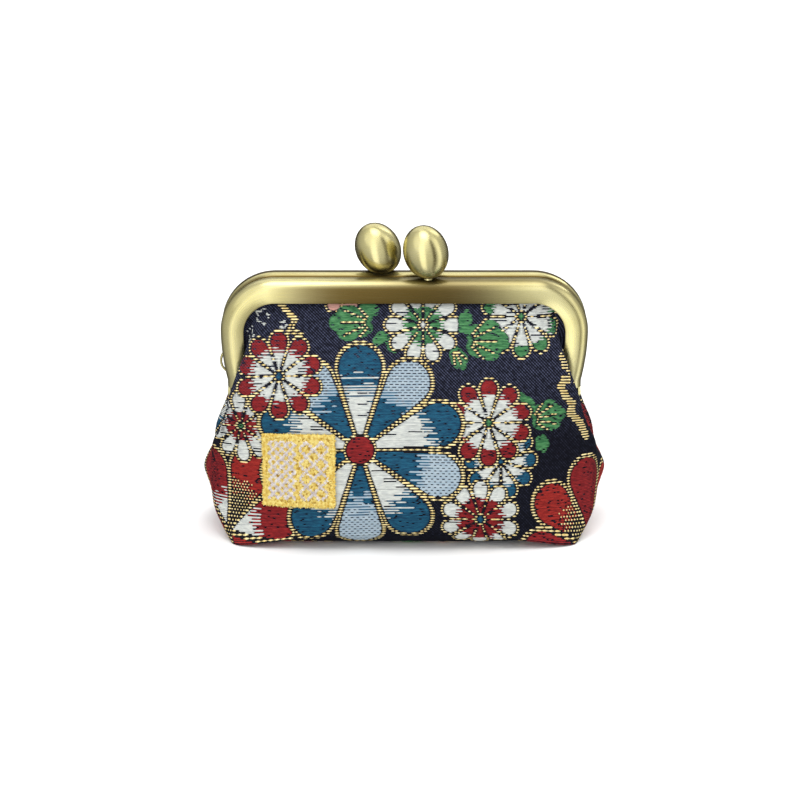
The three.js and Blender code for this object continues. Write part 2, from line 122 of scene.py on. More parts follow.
def mesh_piece(name, vertices, faces, materials, slot, replaces=(), sharp=60):
    """A piece that rides on the purse, from points in millimetres and arrays of triangles or quads."""
    mesh = bpy.data.meshes.new(name)
    corners = np.concatenate([f.ravel() for f in faces])
    sizes = np.concatenate([np.full(len(f), f.shape[1]) for f in faces])
    mesh.vertices.add(len(vertices))
    mesh.vertices.foreach_set("co", (np.asarray(vertices) * MM).astype(np.float32).ravel())
    mesh.loops.add(len(corners))
    mesh.loops.foreach_set("vertex_index", corners.astype(np.int32))
    mesh.polygons.add(len(sizes))
    mesh.polygons.foreach_set("loop_start", (np.cumsum(sizes) - sizes).astype(np.int32))
    mesh.update(calc_edges=True)
    mesh.shade_smooth()
    mesh.set_sharp_from_angle(angle=math.radians(sharp))
    for material in materials:
        mesh.materials.append(material)
    piece = bpy.data.objects.new(name, mesh)
    bpy.context.scene.collection.objects.link(piece)
    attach(piece, "root")
    if replaces:
        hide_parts(*replaces)
    return piece


def add_uv(piece, name, flat):
    """A UV map from one flat place for each vertex."""
    layer = piece.data.uv_layers.new(name=name)
    corners = np.empty(len(piece.data.loops), np.int32)
    piece.data.loops.foreach_get("vertex_index", corners)
    layer.data.foreach_set("uv", np.asarray(flat, np.float32)[corners].ravel())


def add_attribute(piece, name, values, kind="FLOAT", key="value"):
    """A number or a vector for each vertex, which a material can read by its name."""
    layer = piece.data.attributes.new(name, kind, "POINT")
    layer.data.foreach_set(key, np.asarray(values, np.float32).ravel())


def joined(parts):
    """Several (vertices, faces) as one."""
    vertices, faces, count = [], [], 0
    for points, sides in parts:
        vertices.append(points)
        faces += [side + count for side in sides]
        count += len(points)
    return np.concatenate(vertices), faces


def grid_faces(index):
    """Quads in a grid of vertex numbers, facing the side where columns run right and rows down."""
    return np.stack([index[:-1, :-1], index[1:, :-1], index[1:, 1:], index[:-1, 1:]], -1).reshape(-1, 4)


def swept(rings):
    """A closed tube through rings of points, with a fan at each end."""
    count, around = rings.shape[:2]
    index = np.arange(count * around).reshape(count, around)
    wrapped = np.concatenate([index, index[:, :1]], axis=1)
    first = count * around
    turn = np.roll(index[0], -1)
    start = np.stack([np.full(around, first), turn, index[0]], -1)
    end = np.stack([np.full(around, first + 1), index[-1], np.roll(index[-1], -1)], -1)
    middles = np.stack([rings[0].mean(0), rings[-1].mean(0)])
    return np.concatenate([rings.reshape(-1, 3), middles]), [grid_faces(wrapped), start, end]


def turned_out(vertices, faces):
    """The same body with its faces turned round if they point in."""
    volume = 0.0
    for side in faces:
        for k in range(1, side.shape[1] - 1):
            a, b, c = (vertices[side[:, n]] for n in (0, k, k + 1))
            volume += np.einsum("ij,ij->", a, np.cross(b, c))
    return vertices, faces if volume > 0 else [side[:, ::-1] for side in faces]


# Materials

# The twill's ribs lie this far apart along u + v; at scale 1 diagonal bands lie pi / 5 apart
RIB_PITCH = 0.78
TWILL = math.pi / 5 / RIB_PITCH
RIB_WANDER, RIB_LOW = 0.6, 0.5
CLOUD_SCALE, CLOUD_FROM, CLOUD_TO, CLOUD_LOW = 1.1, 0.35, 0.65, 0.35
# Painted shade: the twill's dashes fade over these depths down the cloth, to this share, towards the base
TWILL_SHADE_V, TWILL_LOW = (22.0, 40.0), 0.34
NAVY_TONES = [(0.1, (5, 6, 18)), (0.85, (72, 77, 102))]

# Brass: its tones, the colour that it darkens to for tarnish and for painted shade, and its streaks along the
# brushing
BRASS_TONES = [(0.3, (221, 212, 150)), (0.7, (234, 226, 171))]
BRASS_SHADE_AND_TARNISH, BRASS_ROUGH = (78, 62, 26), (0.2, 0.36)
TARNISH_SCALE, STREAK_STRETCH = 90.0, (0.1, 4.0, 0.1)


def new_material(name, **sockets):
    """A Principled material with constants on its own sockets, its nodes and its shader."""
    material = bpy.data.materials.new(name)
    material.use_nodes = True
    nodes = material.node_tree.nodes
    shader = nodes["Principled BSDF"]
    for socket, value in sockets.items():
        shader.inputs[socket.replace("_", " ")].default_value = value
    return material, nodes, shader


def linked(material, source, target):
    material.node_tree.links.new(source, target)


def grey(level):
    return (level, level, level, 1.0)


def tinted(stops):
    """Stops for a ramp from (place, colour as 0 to 255 in sRGB) pairs."""
    return [(place, linear(*colour)) for place, colour in stops]


def ramp(material, source, stops):
    """A colour ramp over a value, from (place, colour) stops, and its output."""
    node = material.node_tree.nodes.new("ShaderNodeValToRGB")
    elements = node.color_ramp.elements
    while len(elements) < len(stops):
        elements.new(0.5)
    for element, (place, colour) in zip(elements, stops):
        element.position = place
        element.color = colour
    linked(material, source, node.inputs["Fac"])
    return node.outputs["Color"]


def stretched(material, coordinates, stretch):
    """Coordinates after a stretch along each axis."""
    mapping = material.node_tree.nodes.new("ShaderNodeMapping")
    mapping.inputs["Scale"].default_value = stretch
    linked(material, coordinates, mapping.inputs["Vector"])
    return mapping.outputs["Vector"]


def noise(material, coordinates, scale, stretch=(1, 1, 1), detail=2.0):
    """Noise over coordinates that are first stretched, and its value."""
    texture = material.node_tree.nodes.new("ShaderNodeTexNoise")
    texture.inputs["Scale"].default_value = scale
    texture.inputs["Detail"].default_value = detail
    linked(material, stretched(material, coordinates, stretch), texture.inputs["Vector"])
    return texture.outputs["Fac"]


def ranged(material, value, start, end):
    """A value mapped from one (low, high) range to another."""
    node = material.node_tree.nodes.new("ShaderNodeMapRange")
    for socket, number in zip(("From Min", "From Max", "To Min", "To Max"), (*start, *end)):
        node.inputs[socket].default_value = number
    linked(material, value, node.inputs["Value"])
    return node.outputs["Result"]


def attribute(material, name):
    """The node that reads a value or a vector that the mesh holds."""
    node = material.node_tree.nodes.new("ShaderNodeAttribute")
    node.attribute_name = name
    return node


def places(material, uv=None):
    """The object's own coordinates in metres, or a named UV map's."""
    nodes = material.node_tree.nodes
    if uv is None:
        return nodes.new("ShaderNodeTexCoord").outputs["Object"]
    node = nodes.new("ShaderNodeUVMap")
    node.uv_map = uv
    return node.outputs["UV"]


def bumped(material, height, strength, distance):
    """Bump from a height, on the material's shader."""
    nodes = material.node_tree.nodes
    bump = nodes.new("ShaderNodeBump")
    bump.inputs["Strength"].default_value = strength
    bump.inputs["Distance"].default_value = distance
    linked(material, height, bump.inputs["Height"])
    linked(material, bump.outputs["Normal"], nodes["Principled BSDF"].inputs["Normal"])


def thread_material(name, dark, light, roughness, metallic=0.0, stretch=(600, 600, 2900)):
    """Thread whose shade changes from place to place, as often in a metre as stretch says."""
    material, _, shader = new_material(name, Roughness=roughness, Metallic=metallic, Specular_IOR_Level=0.15)
    shade = noise(material, places(material), 1.0, stretch=stretch, detail=1.0)
    linked(material, ramp(material, shade, tinted([(0.3, dark), (0.7, light)])), shader.inputs["Base Color"])
    return material


def diagonal_bands(material, coordinates, stretch):
    """Even diagonal bands over coordinates that are first stretched, and their value."""
    bands = material.node_tree.nodes.new("ShaderNodeTexWave")
    bands.bands_direction = "DIAGONAL"
    bands.inputs["Scale"].default_value = 1.0
    bands.inputs["Distortion"].default_value = RIB_WANDER
    linked(material, stretched(material, coordinates, stretch), bands.inputs["Vector"])
    return bands.outputs["Fac"]


def times(material, first, second):
    """The product of two values."""
    product = material.node_tree.nodes.new("ShaderNodeMath")
    product.operation = "MULTIPLY"
    linked(material, first, product.inputs[0])
    linked(material, second, product.inputs[1])
    return product.outputs["Value"]


def ground_material():
    """Navy twill: diagonal ribs broken into paler dashes by ribs that cross them, clearer in some places than
    in others, and with painted shade that makes the dashes fainter towards the base."""
    material, nodes, shader = new_material("navy_twill", Roughness=0.8, Specular_IOR_Level=0.1)
    flat = places(material, "Weave")
    ribs = diagonal_bands(material, flat, (-TWILL, TWILL, 1))
    cross = diagonal_bands(material, flat, (TWILL, TWILL, 1))
    dashes = times(material, ribs, ramp(material, cross, [(0.0, grey(RIB_LOW)), (1.0, grey(1.0))]))
    clouds = noise(material, flat, CLOUD_SCALE)
    clear = ramp(material, clouds, [(CLOUD_FROM, grey(CLOUD_LOW)), (CLOUD_TO, grey(1.0))])
    parts = nodes.new("ShaderNodeSeparateXYZ")
    linked(material, flat, parts.inputs["Vector"])
    # painted shade: the dashes grow fainter towards the base
    fade = ranged(material, parts.outputs["Y"], TWILL_SHADE_V, (1.0, TWILL_LOW))
    shown = times(material, dashes, times(material, clear, fade))
    linked(material, ramp(material, shown, tinted(NAVY_TONES)), shader.inputs["Base Color"])
    bumped(material, dashes, strength=0.35, distance=0.00008)
    return material


def brass_material():
    """Brushed antique brass: streaks along the brushing, cloudy tarnish, and darker where the mesh says so,
    for tarnish, painted shade and painted dark reflections. Highlights spread across the brushing."""
    material, nodes, shader = new_material(
        "antique_brass", Metallic=1.0, Anisotropic=0.7, Anisotropic_Rotation=0.25, Specular_IOR_Level=0.5)
    brush = attribute(material, "brush").outputs["Vector"]
    streaks = noise(material, brush, 1.0, stretch=STREAK_STRETCH, detail=4.0)
    clouds = noise(material, places(material), TARNISH_SCALE, detail=3.0)
    mix = nodes.new("ShaderNodeMix")
    mix.data_type = "RGBA"
    mix.inputs["B"].default_value = linear(*BRASS_SHADE_AND_TARNISH)
    linked(material, attribute(material, "shade_and_tarnish").outputs["Fac"], mix.inputs["Factor"])
    linked(material, ramp(material, clouds, tinted(BRASS_TONES)), mix.inputs["A"])
    linked(material, mix.outputs["Result"], shader.inputs["Base Color"])
    linked(material, ranged(material, streaks, (0, 1), BRASS_ROUGH), shader.inputs["Roughness"])
    linked(material, attribute(material, "run").outputs["Vector"], shader.inputs["Tangent"])
    bumped(material, streaks, strength=0.03, distance=0.00015)
    return material


brass = brass_material()
navy = ground_material()

# Threads of the weave: name, dark and light shade, roughness, metallic
GROUND, TEAL, PALE, WHITE, CRIMSON, RED, GREEN, PINK, GOLD, INK, RIBBON = range(11)
THREADS = {
    TEAL: thread_material("teal_silk", (8, 60, 88), (24, 92, 122), 0.6),
    PALE: thread_material("pale_silk", (142, 161, 175), (168, 183, 192), 0.6),
    WHITE: thread_material("white_silk", (178, 182, 180), (210, 213, 206), 0.6),
    CRIMSON: thread_material("crimson_silk", (110, 15, 20), (148, 32, 33), 0.6),
    RED: thread_material("red_silk", (128, 23, 19), (164, 42, 34), 0.6),
    GREEN: thread_material("green_silk", (40, 98, 57), (86, 148, 94), 0.6),
    PINK: thread_material("pink_silk", (206, 152, 138), (222, 174, 160), 0.6),
    GOLD: thread_material("gold_weft", (222, 192, 118), (252, 236, 178), 0.38, metallic=0.4),
    INK: thread_material("black_silk", (9, 9, 16), (18, 17, 26), 0.7),
}


# The cloth's surface

def spline(points, at):
    """Points on a centripetal Catmull-Rom curve through rows of points, at places counted in rows."""
    ends = np.concatenate([2 * points[:1] - points[1:2], points, 2 * points[-1:] - points[-2:-1]])
    first = np.minimum(at.astype(int), len(points) - 2)
    share = (at - first)[:, None, None]
    before, here, there, after = (ends[first + k] for k in range(4))

    def knot(a, b):
        return np.maximum(np.sqrt(np.linalg.norm(b - a, axis=-1, keepdims=True)), 1e-4)

    d0, d1, d2 = knot(before, here), knot(here, there), knot(there, after)
    leave = ((here - before) / d0 - (there - before) / (d0 + d1) + (there - here) / d1) * d1
    arrive = ((there - here) / d1 - (after - here) / (d1 + d2) + (after - there) / d2) * d1
    square = 3 * (there - here) - 2 * leave - arrive
    cube = 2 * (here - there) + leave + arrive
    return here + leave * share + square * share**2 + cube * share**3


def wall_points():
    """The front panel's wall: rows from the frame down to the base's edge, each from left to right."""
    s = dict(zip(SECTION_COLUMNS, SECTIONS.T))
    mid = np.stack([0 * s["mid_y"], s["mid_y"], s["mid_z"]], -1)
    fold = np.stack([s["fold_x"], s["fold_y"], s["fold_z"]], -1)
    wide = mid + (fold - mid) * (WIDE_SHARE, WIDE_FALL, WIDE_DROP)
    tuck = np.stack([s["tuck_x"], s["tuck_y"], (s["fold_z"] + s["rim_z"]) / 2], -1)
    rim = np.stack([s["rim_x"], s["rim_y"], s["rim_z"]], -1)
    right = np.stack([mid, wide, fold, tuck, rim])
    left = right[:0:-1] * (-1, 1, 1)
    middle = len(left)
    at = [[float(middle)]] + [middle + k + np.arange(1, n + 1) / n for k, n in enumerate(COLUMN_STEPS)]
    columns = spline(np.concatenate([left, right]), np.concatenate(at))
    rows = np.arange((len(SECTIONS) - 1) * ROWS_PER_SECTION + 1) / ROWS_PER_SECTION
    half = spline(columns.transpose(1, 0, 2), rows)
    half[..., 2] = np.maximum(half[..., 2], 0)
    half[..., 1] = np.minimum(half[..., 1], -GAP / 2)
    return np.concatenate([half[:, :0:-1] * (-1, 1, 1), half], axis=1)


def base_points(wall):
    """The base's front half: rows from the wall's lower edge to the seam along the middle. Each row ends
    where the boxed corner is sewn to the wall's last row."""
    last = wall[-1, MIDDLE_COLUMN:]
    rows = MIDDLE_COLUMN - FOLD_COLUMN
    at = np.arange(1, rows + 1) / rows * (len(BASE_MIDDLE) - 1)
    middles = np.maximum(spline(BASE_MIDDLE[:, None], at)[:, 0] * (-1, 1), 0) * (-1, 1)
    share = last[: FOLD_COLUMN + 1, 0] / last[FOLD_COLUMN, 0]
    blend = share**3
    halves = [last[: FOLD_COLUMN + 1]]
    for (y, z), end in zip(middles, last[FOLD_COLUMN + 1:]):
        halves.append(np.stack([share * end[0], y + (end[1] - y) * blend, z * (1 - blend)], -1))
    half = np.stack(halves)
    return np.concatenate([half[:, :0:-1] * (-1, 1, 1), half], axis=1)


def along_row(row):
    """Length along a row of points from its middle one."""
    length = np.concatenate([[0.0], np.cumsum(np.linalg.norm(np.diff(row, axis=0), axis=1))])
    return length - length[len(row) // 2]


def down_middle(rows):
    """Length down the middle points of rows, from the first row."""
    steps = np.linalg.norm(np.diff(rows[:, rows.shape[1] // 2], axis=0), axis=1)
    return np.concatenate([[0.0], np.cumsum(steps)])


WALL = wall_points()
BASE = base_points(WALL)
WALL_V = down_middle(WALL)
BASE_V = WALL_V[-1] + down_middle(BASE)
TABLE_V = np.arange(0, BASE_V[-1], WEFT)
TABLE_U = np.arange(-U_LIMIT, U_LIMIT + TABLE_STEP / 2, TABLE_STEP)


def row_at(v):
    """The row of points across the cloth at v down from its top edge."""
    grid, depth = (WALL, WALL_V) if v <= WALL_V[-1] else (BASE, BASE_V)
    place = np.interp(v, depth, np.arange(len(depth)))
    first = min(int(place), len(depth) - 2)
    return grid[first] + (place - first) * (grid[first + 1] - grid[first])


def unit(vectors):
    return vectors / np.maximum(np.linalg.norm(vectors, axis=-1, keepdims=True), 1e-9)


def cloth_table():
    """Points and outward normals of the front panel at even steps of u and v, and each row's reach."""
    rows = [row_at(v) for v in TABLE_V]
    lengths = [along_row(row) for row in rows]
    points = np.array([
        [np.interp(TABLE_U, length, row[:, k]) for k in range(3)] for row, length in zip(rows, lengths)
    ]).transpose(0, 2, 1)
    across = np.gradient(points, axis=1)
    walls = int(np.sum(TABLE_V <= WALL_V[-1]))
    down = np.concatenate([np.gradient(points[:walls], axis=0), np.gradient(points[walls:], axis=0)])
    return points, unit(np.cross(down, across)), np.array([length[-1] for length in lengths])


POINTS, NORMALS, REACH = cloth_table()


def pucker(u, v):
    """How far the cloth dips inwards, in soft hollows that fade out at the frame, the sides and the base."""
    fade = np.interp(v, PUCKER_TOP, (0, 1)) * np.interp(v, PUCKER_FOOT, (1, 0))
    across = np.sin(u / ACROSS_LENGTH + ACROSS_SWAY * np.sin(v / ACROSS_SWAY_LENGTH))
    down = np.sin(v / DOWN_LENGTH + DOWN_START + DOWN_SWAY * np.sin(u / DOWN_SWAY_LENGTH))
    return PUCKER_DEPTH * fade * np.interp(np.abs(u), PUCKER_SIDE, (1, 0)) * (across * down - 1)


def on_cloth(u, v, lift):
    """Points at u and v along the front panel, lifted off it."""
    row = np.clip(v / WEFT, 0, len(TABLE_V) - 1.001)
    column = np.clip((u + U_LIMIT) / TABLE_STEP, 0, len(TABLE_U) - 1.001)
    i, j = row.astype(int), column.astype(int)
    a, b = (row - i)[..., None], (column - j)[..., None]

    def read(table):
        upper = table[i, j] * (1 - b) + table[i, j + 1] * b
        lower = table[i + 1, j] * (1 - b) + table[i + 1, j + 1] * b
        return upper * (1 - a) + lower * a

    return read(POINTS) + unit(read(NORMALS)) * (lift + pucker(u, v))[..., None]


def facing(points, side):
    """The front panel's points, turned half round for the back one."""
    return points if side == FRONT else points * (-1, -1, 1)


def panel_surface():
    """A panel's points with their flat places, its cells, and the points down its right side seam. The cells
    are the wall's grid and then the base's, whose sides share the wall's last row at the boxed corners."""
    wall_index = np.arange(WALL[..., 0].size).reshape(WALL.shape[:2])
    left, right = MIDDLE_COLUMN - FOLD_COLUMN, MIDDLE_COLUMN + FOLD_COLUMN
    inner = BASE[1:, 1:-1]
    base_index = np.full(BASE.shape[:2], -1)
    base_index[0] = wall_index[-1, left: right + 1]
    base_index[1:, 1:-1] = wall_index.size + np.arange(inner[..., 0].size).reshape(inner.shape[:2])
    base_index[1:, 0] = wall_index[-1, left - 1:: -1]
    base_index[1:, -1] = wall_index[-1, right + 1:]
    points = np.concatenate([WALL.reshape(-1, 3), inner.reshape(-1, 3)])
    flat_u = np.concatenate([along_row(row) for row in WALL] + [along_row(row)[1:-1] for row in BASE[1:]])
    flat_v = np.concatenate([np.repeat(WALL_V, WALL.shape[1]), np.repeat(BASE_V[1:], inner.shape[1])])
    cells = np.concatenate([grid_faces(wall_index), grid_faces(base_index)])
    return points, flat_u, flat_v, cells, wall_index[WALL[:, -1, 1] > -GAP, -1]


def vertex_normals(points, cells):
    """Outward normals at the points of a grid of quads."""
    rise, run = points[cells[:, 1]] - points[cells[:, 3]], points[cells[:, 2]] - points[cells[:, 0]]
    cell_normals = unit(np.cross(rise, run))
    normals = np.zeros_like(points)
    for k in range(4):
        np.add.at(normals, cells[:, k], cell_normals)
    return unit(normals)


# Each side's share of the height of the map that materials are baked to
BAKE_SHARE, BAKE_MARGIN = 0.49, 0.005


def cloth_panel(name, side, node):
    """One panel's ground cloth, a wall of its real thickness."""
    points, flat_u, flat_v, cells, seam = panel_surface()
    normals = vertex_normals(points, cells)
    outside = points + normals * (pucker(flat_u, flat_v) - STRAND_RISE)[:, None]
    inside = points - normals * CLOTH
    inside[:, 1] = np.minimum(inside[:, 1], np.sign(points[:, 0]) * SEAM_LAP - GAP / 2)
    inside[seam, 1] = SEAM_LAP - GAP / 2
    count = len(points)
    edges = {(a, b) for k in range(4) for a, b in cells[:, [k, (k + 1) % 4]].tolist()}
    rim = np.array([(b, a, a + count, b + count) for a, b in edges if (b, a) not in edges])
    vertices = facing(np.concatenate([outside, inside]), side)
    faces = [cells, cells[:, ::-1] + count, rim]
    piece = mesh_piece(name, vertices, faces, [navy], "brocade", [node], sharp=75)
    add_uv(piece, "Weave", np.tile(np.stack([flat_u, flat_v], -1), (2, 1)))
    scale = BAKE_SHARE / BASE_V[-1]
    flat = np.stack([0.5 + flat_u * scale, flat_v * scale], -1)
    add_uv(piece, "OFBake", np.concatenate([flat + (0, BAKE_MARGIN), flat + (0, 0.5 + BAKE_MARGIN)]))
    return piece


# The pattern, drawn into a grid of thread colours: one row for each weft, one column for each drawing step
DRAW_U = np.arange(-U_LIMIT, U_LIMIT, DRAW_STEP)
DRAW_V = TABLE_V
DRAW_ROWS = np.arange(len(DRAW_V))

# Gold between petals: half its width near the core, where petals meet, and at their tips
BIG_LINE, SMALL_LINE = (0.45, 0.6, 1.1), (0.2, 0.36, 0.58)
LINE_PLACES = (0.2, 0.55, 0.85)
HEM, CORE_RING, EDGE_SLACK = 0.15, 0.55, 0.01

# Small flowers' gold is dotted near the core: stretches of it are lost, and odd rows are bare or narrower
DOTTED_FROM, DOTTED_UNTIL = 0.1, 0.66
LOST_LENGTH, LOST_NEAR_CORE = 0.8, 0.5
ODD_LENGTH, ODD_BARE, ODD_LINE = 1.1, 0.25, 0.7

# How two colours mesh: the paler one reaches past the line between them in even rows and falls short of it
# in odd ones, and the reach changes from stretch to stretch. It is longest in big flowers' upright petals
MESH_COUNT, MESH_TURN, MESH_BLOCK = 256, 38, 2.6
FULL_MESH, MESH_FALL = 22.0, 1.2
UPRIGHT_RADII, UPRIGHT_GAIN, UPRIGHT_SHIFT = (12, 24), (-0.5, 0.45), 0.09
BREAK_UPRIGHT, BREAK_LEVEL = 1.6, 0.8
THIN_LENGTH, THIN_DEPTH, THIN_KEPT = 2.2, 7.0, (0.2, 1)
ROW_STRIDE, BLOCK_STRIDE = 31, 17
short_of = -rng.uniform(0, 1.2, MESH_COUNT)
reach_past = rng.uniform(0.3, 3.2, MESH_COUNT)
REACHES = np.where(np.arange(MESH_COUNT) % 2, short_of, reach_past)
BREAKS = rng.uniform(-1, 1, (MESH_COUNT, 2 + int(2 * U_LIMIT / MESH_BLOCK)))
CHANCES = rng.uniform(0, 1, MESH_COUNT)

# Leaves, bands, blossoms and seeds
LOBES, LOBE_SIZE, LOBE_WAVE, LOBE_ROUND = 5, 0.82, 0.2, 0.7
VEIN_ROOT, VEIN_SPREAD, VEIN_HALF, VEIN_FROM, VEIN_TO = 0.9, 24, 0.3, 0.3, 1.4
SCALLOP, SCALLOP_RATE = 0.14, 3.4
BLOSSOM_PETALS, BLOSSOM_WAVE, BLOSSOM_LENGTH, BLOSSOM_KEPT = 5, 0.25, 0.9, 0.62
SEED_PITCH, SEED_WANDER, SEED_DARK = 0.85, 1.4, 0.78


def broken(part):
    """A random number from -1 to 1 for each short stretch of each row."""
    row = DRAW_ROWS[part[0]][:, None]
    block = ((DRAW_U[part[1]][None, :] + U_LIMIT) / MESH_BLOCK + row % 2 / 2).astype(int)
    return BREAKS[row % MESH_COUNT, block]


def chance(part, length):
    """A random number from 0 to 1 for each stretch of this length in each row."""
    block = ((DRAW_U[part[1]] + U_LIMIT) / length).astype(int)
    return CHANCES[(ROW_STRIDE * DRAW_ROWS[part[0]][:, None] + BLOCK_STRIDE * block[None, :]) % MESH_COUNT]


def window(at, reach):
    """The part of the drawing round a place, with each point's distance to its right and above it."""
    rows = slice(*np.searchsorted(DRAW_V, [at[1] - reach, at[1] + reach]))
    columns = slice(*np.searchsorted(DRAW_U, [at[0] - reach, at[0] + reach]))
    return (rows, columns), (DRAW_U[columns] - at[0])[None, :], (at[1] - DRAW_V[rows])[:, None]


def petal_depth(radius, half, along, aside):
    """How deep places along and aside of a petal's middle lie inside it. Its end is round."""
    tip_centre = radius / (1 + math.sin(half))
    round_end = along * math.cos(half) + aside * math.sin(half) > tip_centre * math.cos(half)
    return np.where(
        round_end,
        radius - tip_centre - np.hypot(along - tip_centre, aside),
        along * math.sin(half) - aside * math.cos(half))


def petal_colours(part, radius, split, number, along, level, tips, inners):
    """Two kinds of petals in turn, each with a tip colour and an inner colour that mesh. White thins out
    towards the tips of the biggest flowers' upright petals."""
    row = DRAW_ROWS[part[0]][:, None]
    tip, inner = (np.where(number % 2 == 1, second, first) for first, second in (tips, inners))
    upright = 1 - level
    size = min(1.0, (radius / FULL_MESH) ** MESH_FALL)
    gain = 1 + np.interp(radius, UPRIGHT_RADII, UPRIGHT_GAIN) * upright
    reach = gain * REACHES[(row + MESH_TURN * number) % MESH_COUNT]
    breaks = (BREAK_UPRIGHT + (BREAK_LEVEL - BREAK_UPRIGHT) * level) * broken(part)
    mesh = size * (np.where(np.isin(tip, (WHITE, PALE)), reach, -reach) + breaks)
    inwards = (split - UPRIGHT_SHIFT * size * upright) * radius - along
    colour = np.where(inwards < mesh, tip, inner)
    if radius > FULL_MESH:
        thin = chance(part, THIN_LENGTH) > np.interp(inwards / size, (0, THIN_DEPTH), THIN_KEPT)
        colour[(colour == WHITE) & (upright > 0.5) & thin & (row % 2 == 1)] = GROUND
    return colour


def flower(drawing, at, radius, turn, tips, inners, core, petals=10, split=0.62, line=SMALL_LINE,
           core_size=0.07):
    """A chrysanthemum: round-ended petals outlined in gold, round a small disc. Its centre lies on a row that
    can be gold."""
    part, right, above = window((at[0], round(at[1] / (2 * WEFT)) * 2 * WEFT), radius)
    far = np.hypot(right, above)
    half = math.pi / petals
    angle = np.arctan2(above, right) - math.radians(turn)
    number = np.round(angle / (2 * half)).astype(int)
    off = np.abs(angle - number * 2 * half)
    along, aside = far * np.cos(off), far * np.sin(off)
    level = np.abs(np.cos(number * 2 * half + math.radians(turn)))
    depth = petal_depth(radius, half, along, aside)
    colour = petal_colours(part, radius, split, number, along, level, tips, inners)
    gold = np.interp(along / radius, LINE_PLACES, line)
    fine = (line is SMALL_LINE) & (along < DOTTED_UNTIL * radius)
    lose = np.interp(along / radius, (DOTTED_FROM, DOTTED_UNTIL), (LOST_NEAR_CORE, 0))
    lost = fine & (chance(part, LOST_LENGTH) < lose)
    narrow = np.where(chance(part, ODD_LENGTH) < ODD_BARE, -1.0, ODD_LINE * gold)
    gold = np.where(fine & (DRAW_ROWS[part[0]][:, None] % 2 == 1), narrow, gold)
    colour[depth < gold + HEM] = INK
    colour[(depth < gold) & ~lost] = GOLD
    disc = core_size * radius
    ring = disc + HEM + CORE_RING
    colour[far < ring] = GOLD
    colour[far < disc + HEM] = INK
    colour[far < disc] = core
    drawing[part] = np.where((depth > -EDGE_SLACK) | (far < ring), colour, drawing[part])


def leaf(drawing, at, length, width, turn, veins=2):
    """A green leaf of round lobes with gold veins that fan out from its base."""
    part, right, above = window(at, (LOBE_SIZE + LOBE_WAVE) * max(length, width))
    c, s = math.cos(math.radians(turn)), math.sin(math.radians(turn))
    along, aside = right * c + above * s, above * c - right * s
    wave = np.abs(np.cos(LOBES / 2 * np.arctan2(aside / width, along / length))) ** LOBE_ROUND
    inside = np.hypot(along / length, aside / width) < LOBE_SIZE + LOBE_WAVE * wave
    fan = np.arctan2(aside, along + VEIN_ROOT * length)
    far = np.hypot(aside, along + VEIN_ROOT * length)
    spread = math.radians(VEIN_SPREAD)
    nearest = np.clip(np.round(fan / spread), -veins, veins)
    vein = (veins > 0) & (far * np.abs(np.sin(fan - nearest * spread)) < VEIN_HALF)
    vein &= (far > VEIN_FROM * length) & (far < VEIN_TO * length)
    drawing[part] = np.where(inside, np.where(vein, GOLD, GREEN), drawing[part])


def band(drawing, points, width, colour=GOLD):
    """A band of thread along a line of points, with scalloped edges."""
    for start, end in zip(points, points[1:]):
        run = np.subtract(end, start)
        length = max(math.hypot(*run), 1e-6)
        at = np.add(start, end) / 2
        part, right, above = window(at, length / 2 + width)
        right, down = right + (at[0] - start[0]), -above + (at[1] - start[1])
        share = np.clip((right * run[0] + down * run[1]) / length**2, 0, 1)
        miss = np.hypot(right - share * run[0], down - share * run[1])
        scallop = 1 - SCALLOP + SCALLOP * np.cos(share * length * SCALLOP_RATE)
        drawing[part] = np.where(miss < width / 2 * scallop, colour, drawing[part])


def blossom(drawing, at, radius, width=0.7):
    """The broken outline of a small blossom, in white."""
    part, right, above = window(at, (1 + BLOSSOM_WAVE) * radius + width)
    edge = radius * (1 + BLOSSOM_WAVE * np.cos(BLOSSOM_PETALS * np.arctan2(above, right)))
    line = np.abs(np.hypot(right, above) - edge) < width / 2
    drawing[part] = np.where(line & (chance(part, BLOSSOM_LENGTH) < BLOSSOM_KEPT), WHITE, drawing[part])


def seeds(drawing, at, reach, turn, spread, disc=1.2):
    """Gold seeds round a flower's centre and up a wedge from it, on dark ground and then on the petal."""
    part, right, above = window(at, reach + SEED_WANDER)
    far = np.hypot(right, above)
    off = (np.arctan2(above, right) - math.radians(turn) + math.pi) % (2 * math.pi) - math.pi
    ragged = far + SEED_WANDER * broken(part)
    inside = (np.abs(off) < math.radians(spread)) & (ragged < reach) | (far < disc)
    dot = (DRAW_U[part[1]][None, :] / SEED_PITCH + DRAW_ROWS[part[0]][:, None] / 4) % 1 < 0.5
    under = drawing[part]
    between = np.where(ragged < SEED_DARK * reach, INK, under)
    drawing[part] = np.where(inside, np.where(dot, GOLD, between), under)


TEAL_BLOOM = dict(tips=(TEAL, PALE), inners=(WHITE, TEAL), core=CRIMSON)
RED_WHITE = dict(tips=(CRIMSON, CRIMSON), inners=(WHITE, WHITE))
WHITE_RED = dict(tips=(WHITE, WHITE), inners=(CRIMSON, CRIMSON))
WHITE_GREEN = dict(tips=(WHITE, WHITE), inners=(GREEN, GREEN), core=WHITE)
GREEN_WHITE = dict(tips=(GREEN, GREEN), inners=(WHITE, WHITE), core=GREEN)
PINK_WHITE = dict(tips=(PINK, PINK), inners=(WHITE, WHITE))
TEAL_WHITE = dict(tips=(TEAL, TEAL), inners=(WHITE, WHITE), core=TEAL)
CORNER_BLOOM = dict(tips=(RED, CRIMSON), core=INK, core_size=0.03, line=BIG_LINE)

